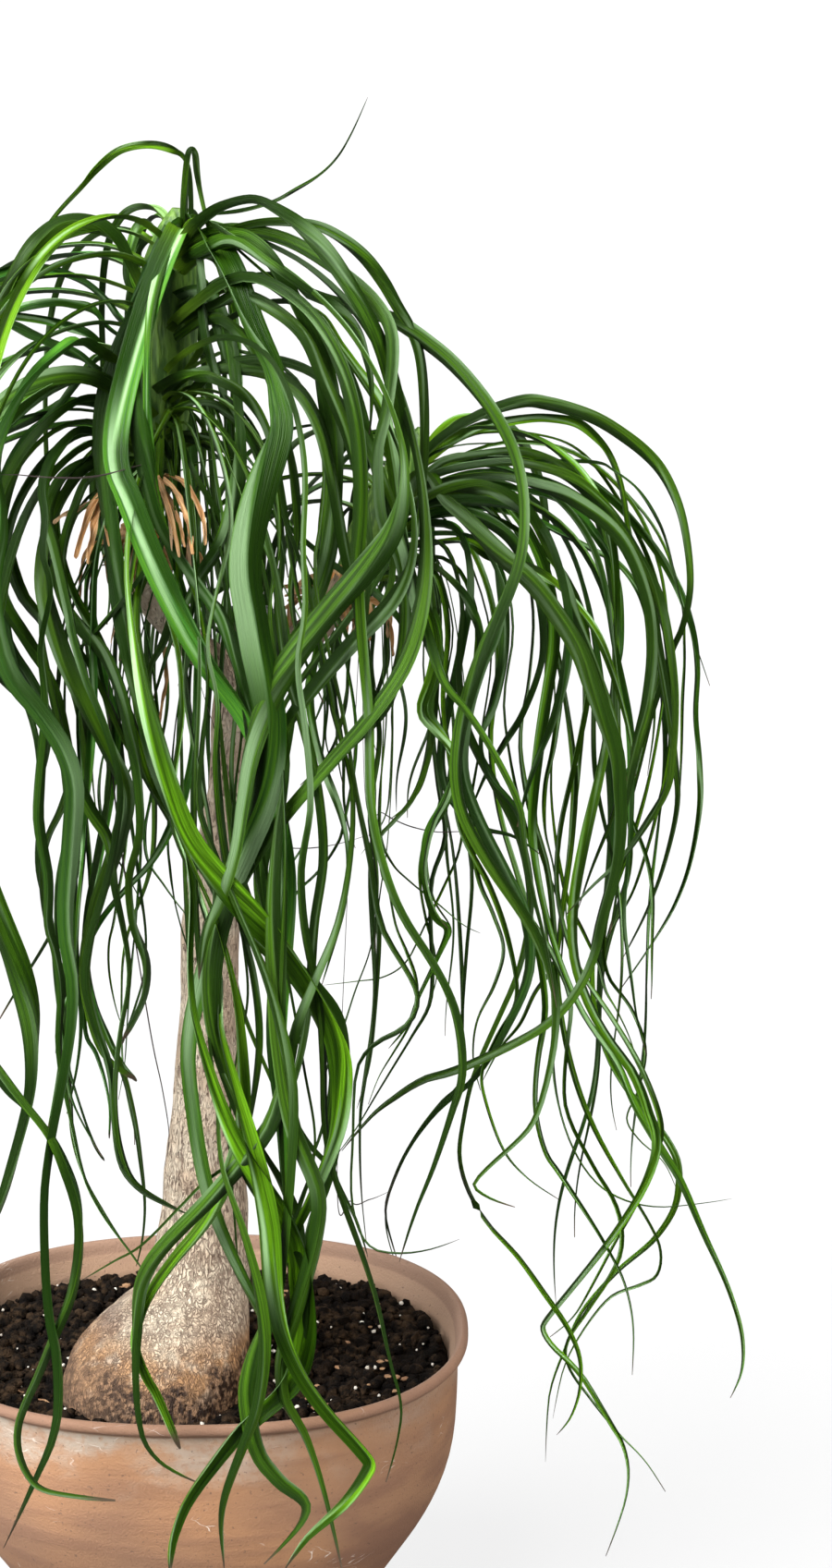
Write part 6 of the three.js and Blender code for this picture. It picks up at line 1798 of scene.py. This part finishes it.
def makeWood():
    rings = resampled(np.array(trunkRings, float), wood["rings"]).tolist()
    stump = ringStack("stump", rings, wood["sides"])
    branches = [tube("leftBranch", leftBranch), tube("rightBranch", rightBranch)]
    made = joinAll([stump, *branches], "wood")
    applyModifier(made, "REMESH", mode="VOXEL", voxel_size=wood["voxel"])
    applyModifier(made, "SMOOTH", factor=wood["smoothFactor"], iterations=wood["smoothing"])
    points = places(made.data) / mm
    swell = -wood["sunk"]
    for size, tall, seed, reach in wood["swells"]:
        swell = swell + lumps(points * np.array([1, 1, tall]), size, seed) * reach
    setPlaces(made.data, (points + places(made.data, "normal") * swell[:, None]) * mm)
    smooth(made)
    finishPiece(made, bark, "bark", "trunk")
    print("wood", len(made.data.polygons), "faces")


makeWood()


# the sealed cut on top of the trunk

seal = {
    # heights and radii, up the side and in over the top
    "section": [
        [685.3, 14.2], [686.1, 14.8], [689.1, 14.8], [690, 14.1], [690.3, 12.8], [690, 9], [689.7, 4],
        [689.6, 0.6],
    ],
    "sides": 40,
    "rounding": 2,
    "lumpSize": 4,
    "lumpSeed": 9,
    "lump": 0.25,
    "smooth": 60,
}


def makeSeal():
    x, y = trunkRings[-1][:2]
    made = ringStack("sealedCut", [[x, y, *ring] for ring in seal["section"]], seal["sides"])
    applyModifier(made, "SUBSURF", levels=seal["rounding"], render_levels=seal["rounding"])
    points = places(made.data) / mm
    points[:, 2] += lumps(points, seal["lumpSize"], seal["lumpSeed"]) * seal["lump"]
    setPlaces(made.data, points * mm)
    smooth(made, seal["smooth"])
    finishPiece(made, sealGrey, "seal", "cut_seal")


makeSeal()


# bowl

bowl = {
    "squareness": 2.3,
    "halfDepth": 149,
    "sides": 80,
    "scale": 0.16,
    "drillSides": 28,
    "drillLength": 0.04,
    "lumpSize": 55,
    "lumpSeed": 11,
    "lump": 0.5,
    # heights, and how much of the unevenness shows there
    "uneven": ([0, 30, 200, 229], [0, 1, 1, 0.4]),
    "smooth": 40,
    # shares of the full half width, and heights, up the outside, over the lip and down inside
    "section": [
        [0.425, 0], [0.442, 0.8], [0.455, 4], [0.487, 13], [0.525, 23], [0.577, 39], [0.632, 55.5],
        [0.68, 69], [0.733, 83], [0.787, 97], [0.84, 111], [0.885, 126], [0.922, 142], [0.947, 160],
        [0.956, 180], [0.961, 200], [0.96, 212], [0.962, 219], [0.974, 220.8], [0.991, 222], [1.0, 224.2],
        [0.997, 227.2], [0.985, 228.9], [0.971, 229.1], [0.96, 227.3], [0.951, 222], [0.94, 212],
        [0.927, 200], [0.911, 180], [0.894, 160], [0.868, 142], [0.83, 126], [0.785, 111], [0.733, 97],
        [0.68, 83], [0.63, 70], [0.583, 57], [0.51, 40], [0.43, 24], [0.39, 15], [0.355, 12.3], [0.3, 12],
    ],
}


def ovalPlaces(shares, angles):
    power = 2 / bowl["squareness"]
    x = np.sign(np.cos(angles)) * np.abs(np.cos(angles)) ** power
    y = np.sign(np.sin(angles)) * np.abs(np.sin(angles)) ** power
    return shares * pot["halfWidth"] * x, shares * bowl["halfDepth"] * y


def ovalStack(name, section, sides):
    # round rings, whose radius is a share of the scale
    rings = [[0, 0, height, share * bowl["scale"] / mm] for share, height in section]
    return ringStack(name, rings, sides)


def toOval(mesh):
    # turns such rings into the bowl's squarer oval
    points = places(mesh) / mm
    shares = np.hypot(points[:, 0], points[:, 1]) / (bowl["scale"] / mm)
    angles = np.arctan2(points[:, 1], points[:, 0])
    points[:, 0], points[:, 1] = ovalPlaces(shares, angles)
    setPlaces(mesh, points * mm)


def drillHoles(made):
    drills = []
    reach = pot["drainCircle"] * mm
    for hole in range(pot["drainHoles"]):
        angle = (hole + 0.5) / pot["drainHoles"] * 2 * math.pi
        deselectAll()
        bpy.ops.mesh.primitive_cylinder_add(
            vertices=bowl["drillSides"], radius=pot["drainRadius"] * mm, depth=bowl["drillLength"],
            location=(reach * math.cos(angle), reach * math.sin(angle), 0))
        drills.append(bpy.context.object)
    drill = joinAll(drills, "drill")
    applyModifier(made, "BOOLEAN", operation="DIFFERENCE", object=drill, solver="EXACT")
    bpy.data.objects.remove(drill)


def markOuter(mesh):
    # above 0 where the wall faces outwards, below 0 on the inside
    facing = np.sum(places(mesh, "normal") * levelled(places(mesh)), axis=1)
    markPoints(mesh, "outer", facing)


def makeBowl():
    made = ovalStack("bowl", bowl["section"], bowl["sides"])
    applyModifier(made, "SUBSURF", levels=1, render_levels=1)
    toOval(made.data)
    drillHoles(made)
    points = places(made.data) / mm
    held = np.interp(points[:, 2], *bowl["uneven"])
    swell = lumps(points, bowl["lumpSize"], bowl["lumpSeed"]) * bowl["lump"] * held
    setPlaces(made.data, (points + levelled(points) * swell[:, None]) * mm)
    smooth(made, bowl["smooth"])
    markOuter(made.data)
    finishPiece(made, clay, "terracotta", "pot")
    print("bowl", len(made.data.polygons), "faces")


makeBowl()


# soil

soil = {
    "top": 206,
    # shares of the bowl's half width, and heights, up to the top
    "section": [
        [0.35, 12.4], [0.455, 30], [0.53, 46], [0.652, 78], [0.748, 103], [0.862, 143], [0.908, 185],
        [0.922, 201],
    ],
    "sides": 96,
    "topRings": 26,
    "leastShare": 0.01,
    # size, seed and height of the broad and of the small lumps
    "lumps": ((19, 21, 4.4), (6, 23, 2.2)),
    "seed": 4241,
}
crumb = {
    "shapes": 6, "lumpSize": 0.9, "lumpSeed": 31, "lump": 0.35, "power": 1.6, "spin": 6.283, "tip": 3.1416,
    "narrow": 0.85, "above": 1.2, "smooth": 55, "wallGap": 0.004, "wallReach": 150, "foot": (-25, -50),
    "footHeight": 208, "footGap": 0.8,
}
# how many, the least and the largest radius, how flat and how far sunk
scattered = {
    "soilCrumbs": (4000, (1.1, 5.6), 0.8, 0.25),
    "perlite": (190, (0.7, 1.9), 0.9, -1.2),
    "woodChips": (90, (1.0, 3.4), 0.4, -0.8),
}
dryRoot = {
    "route": [-2, 1425, 18, 1436, 36, 1452, 58, 1474], "steps": 16, "depth": -40, "back": 2, "radius": 0.55,
    "above": 2.5, "sides": 8, "rings": 30,
}


def soilHeight(points):
    flat = np.array(points) * np.array([1, 1, 0])
    return soil["top"] + sum(reach * lumps(flat, size, seed) for size, seed, reach in soil["lumps"])


def makeSoilBed():
    edge, count = soil["section"][-1][0], soil["topRings"]
    inner = [max(edge * (1 - ring / count), soil["leastShare"]) for ring in range(1, count)]
    section = soil["section"] + [(share, soil["top"]) for share in inner]
    made = ovalStack("soilBed", section, soil["sides"])
    toOval(made.data)
    points = places(made.data) / mm
    top = points[:, 2] > soil["top"] - 1
    points[top, 2] = soilHeight(points[top])
    setPlaces(made.data, points * mm)
    smooth(made)
    finishPiece(made, soilDark, "soil", "soil")


def crumbShapes(count):
    # a few lumpy crumbs of 20 faces, each modelled on its own
    shapes = []
    for at in range(count):
        deselectAll()
        bpy.ops.mesh.primitive_ico_sphere_add(subdivisions=1, radius=1)
        made = bpy.context.object
        points = places(made.data)
        points *= (1 + crumb["lump"] * lumps(points, crumb["lumpSize"], crumb["lumpSeed"] + at))[:, None]
        faces = np.array([list(face.vertices) for face in made.data.polygons])
        shapes.append((points, faces))
        bpy.data.objects.remove(made)
    return shapes


def openSpot(draw, away):
    # a place on the soil that the foot and the wall leave open
    footX, footY = crumb["foot"]
    _, _, heights, radii = zip(*trunkRings)
    footRadius = np.interp(crumb["footHeight"], heights, radii)
    while True:
        angle = draw() * 2 * math.pi
        edge = soil["section"][-1][0] - crumb["wallGap"] - away / crumb["wallReach"]
        x, y = ovalPlaces(math.sqrt(draw()) * edge, angle)
        if math.hypot(x - footX, y - footY) > footRadius + away * crumb["footGap"]:
            return x, y


def scatter(name, draw, paint, shapes):
    count, size, flat, sink = scattered[name]
    allPoints, allFaces = [], []
    for at in range(count):
        points, faces = shapes[int(draw() * len(shapes)) % len(shapes)]
        radius = mix(*size, draw() ** crumb["power"])
        turn, tip = draw() * crumb["spin"], draw() * crumb["tip"]
        ahead, aside = math.cos(turn), math.sin(turn)
        spun = np.array([[ahead, -aside, 0], [aside, ahead, 0], [0, 0, 1]])
        tipped = np.array([[1, 0, 0], [0, math.cos(tip), -math.sin(tip)], [0, math.sin(tip), math.cos(tip)]])
        shaped = points @ tipped.T * np.array([1, crumb["narrow"], flat]) @ spun.T * radius
        x, y = openSpot(draw, radius)
        height = soilHeight([[x, y, 0]])[0] + radius * (0.5 - sink) + draw() * crumb["above"]
        allFaces.append(faces + len(points) * at)
        allPoints.append(shaped + np.array([x, y, height]))
    mesh = bpy.data.meshes.new(name)
    mesh.from_pydata((np.concatenate(allPoints) * mm).tolist(), [], np.concatenate(allFaces).tolist())
    made = addObject(name, mesh)
    finishPiece(made, paint, "soil")
    return made


def makeDryRoot():
    # a thin root that lies on the soil
    marks = []
    for at in range(dryRoot["steps"] + 1):
        mark = splinePoint(sheetSteps(dryRoot["route"]), at / dryRoot["steps"])
        x, y, _ = atDepth(*mark, dryRoot["depth"] - dryRoot["back"] * at)
        marks.append([x, y, soilHeight([[x, y, 0]])[0] + dryRoot["above"], dryRoot["radius"]])
    made = tube("dryRoot", marks, dryRoot["sides"], dryRoot["rings"])
    smooth(made)
    finishPiece(made, chipTan, "soil")


def makeSoil():
    makeSoilBed()
    draw = seeded(soil["seed"])
    shapes = crumbShapes(crumb["shapes"])
    smooth(scatter("soilCrumbs", draw, soilDark, shapes), crumb["smooth"])
    scatter("perlite", draw, perliteWhite, shapes)
    scatter("woodChips", draw, chipTan, shapes)
    makeDryRoot()
    print("soil ready with", scattered["soilCrumbs"][0], "crumbs")


makeSoil()

for master in (bladeWide, bladeFine):
    bpy.data.objects.remove(master)
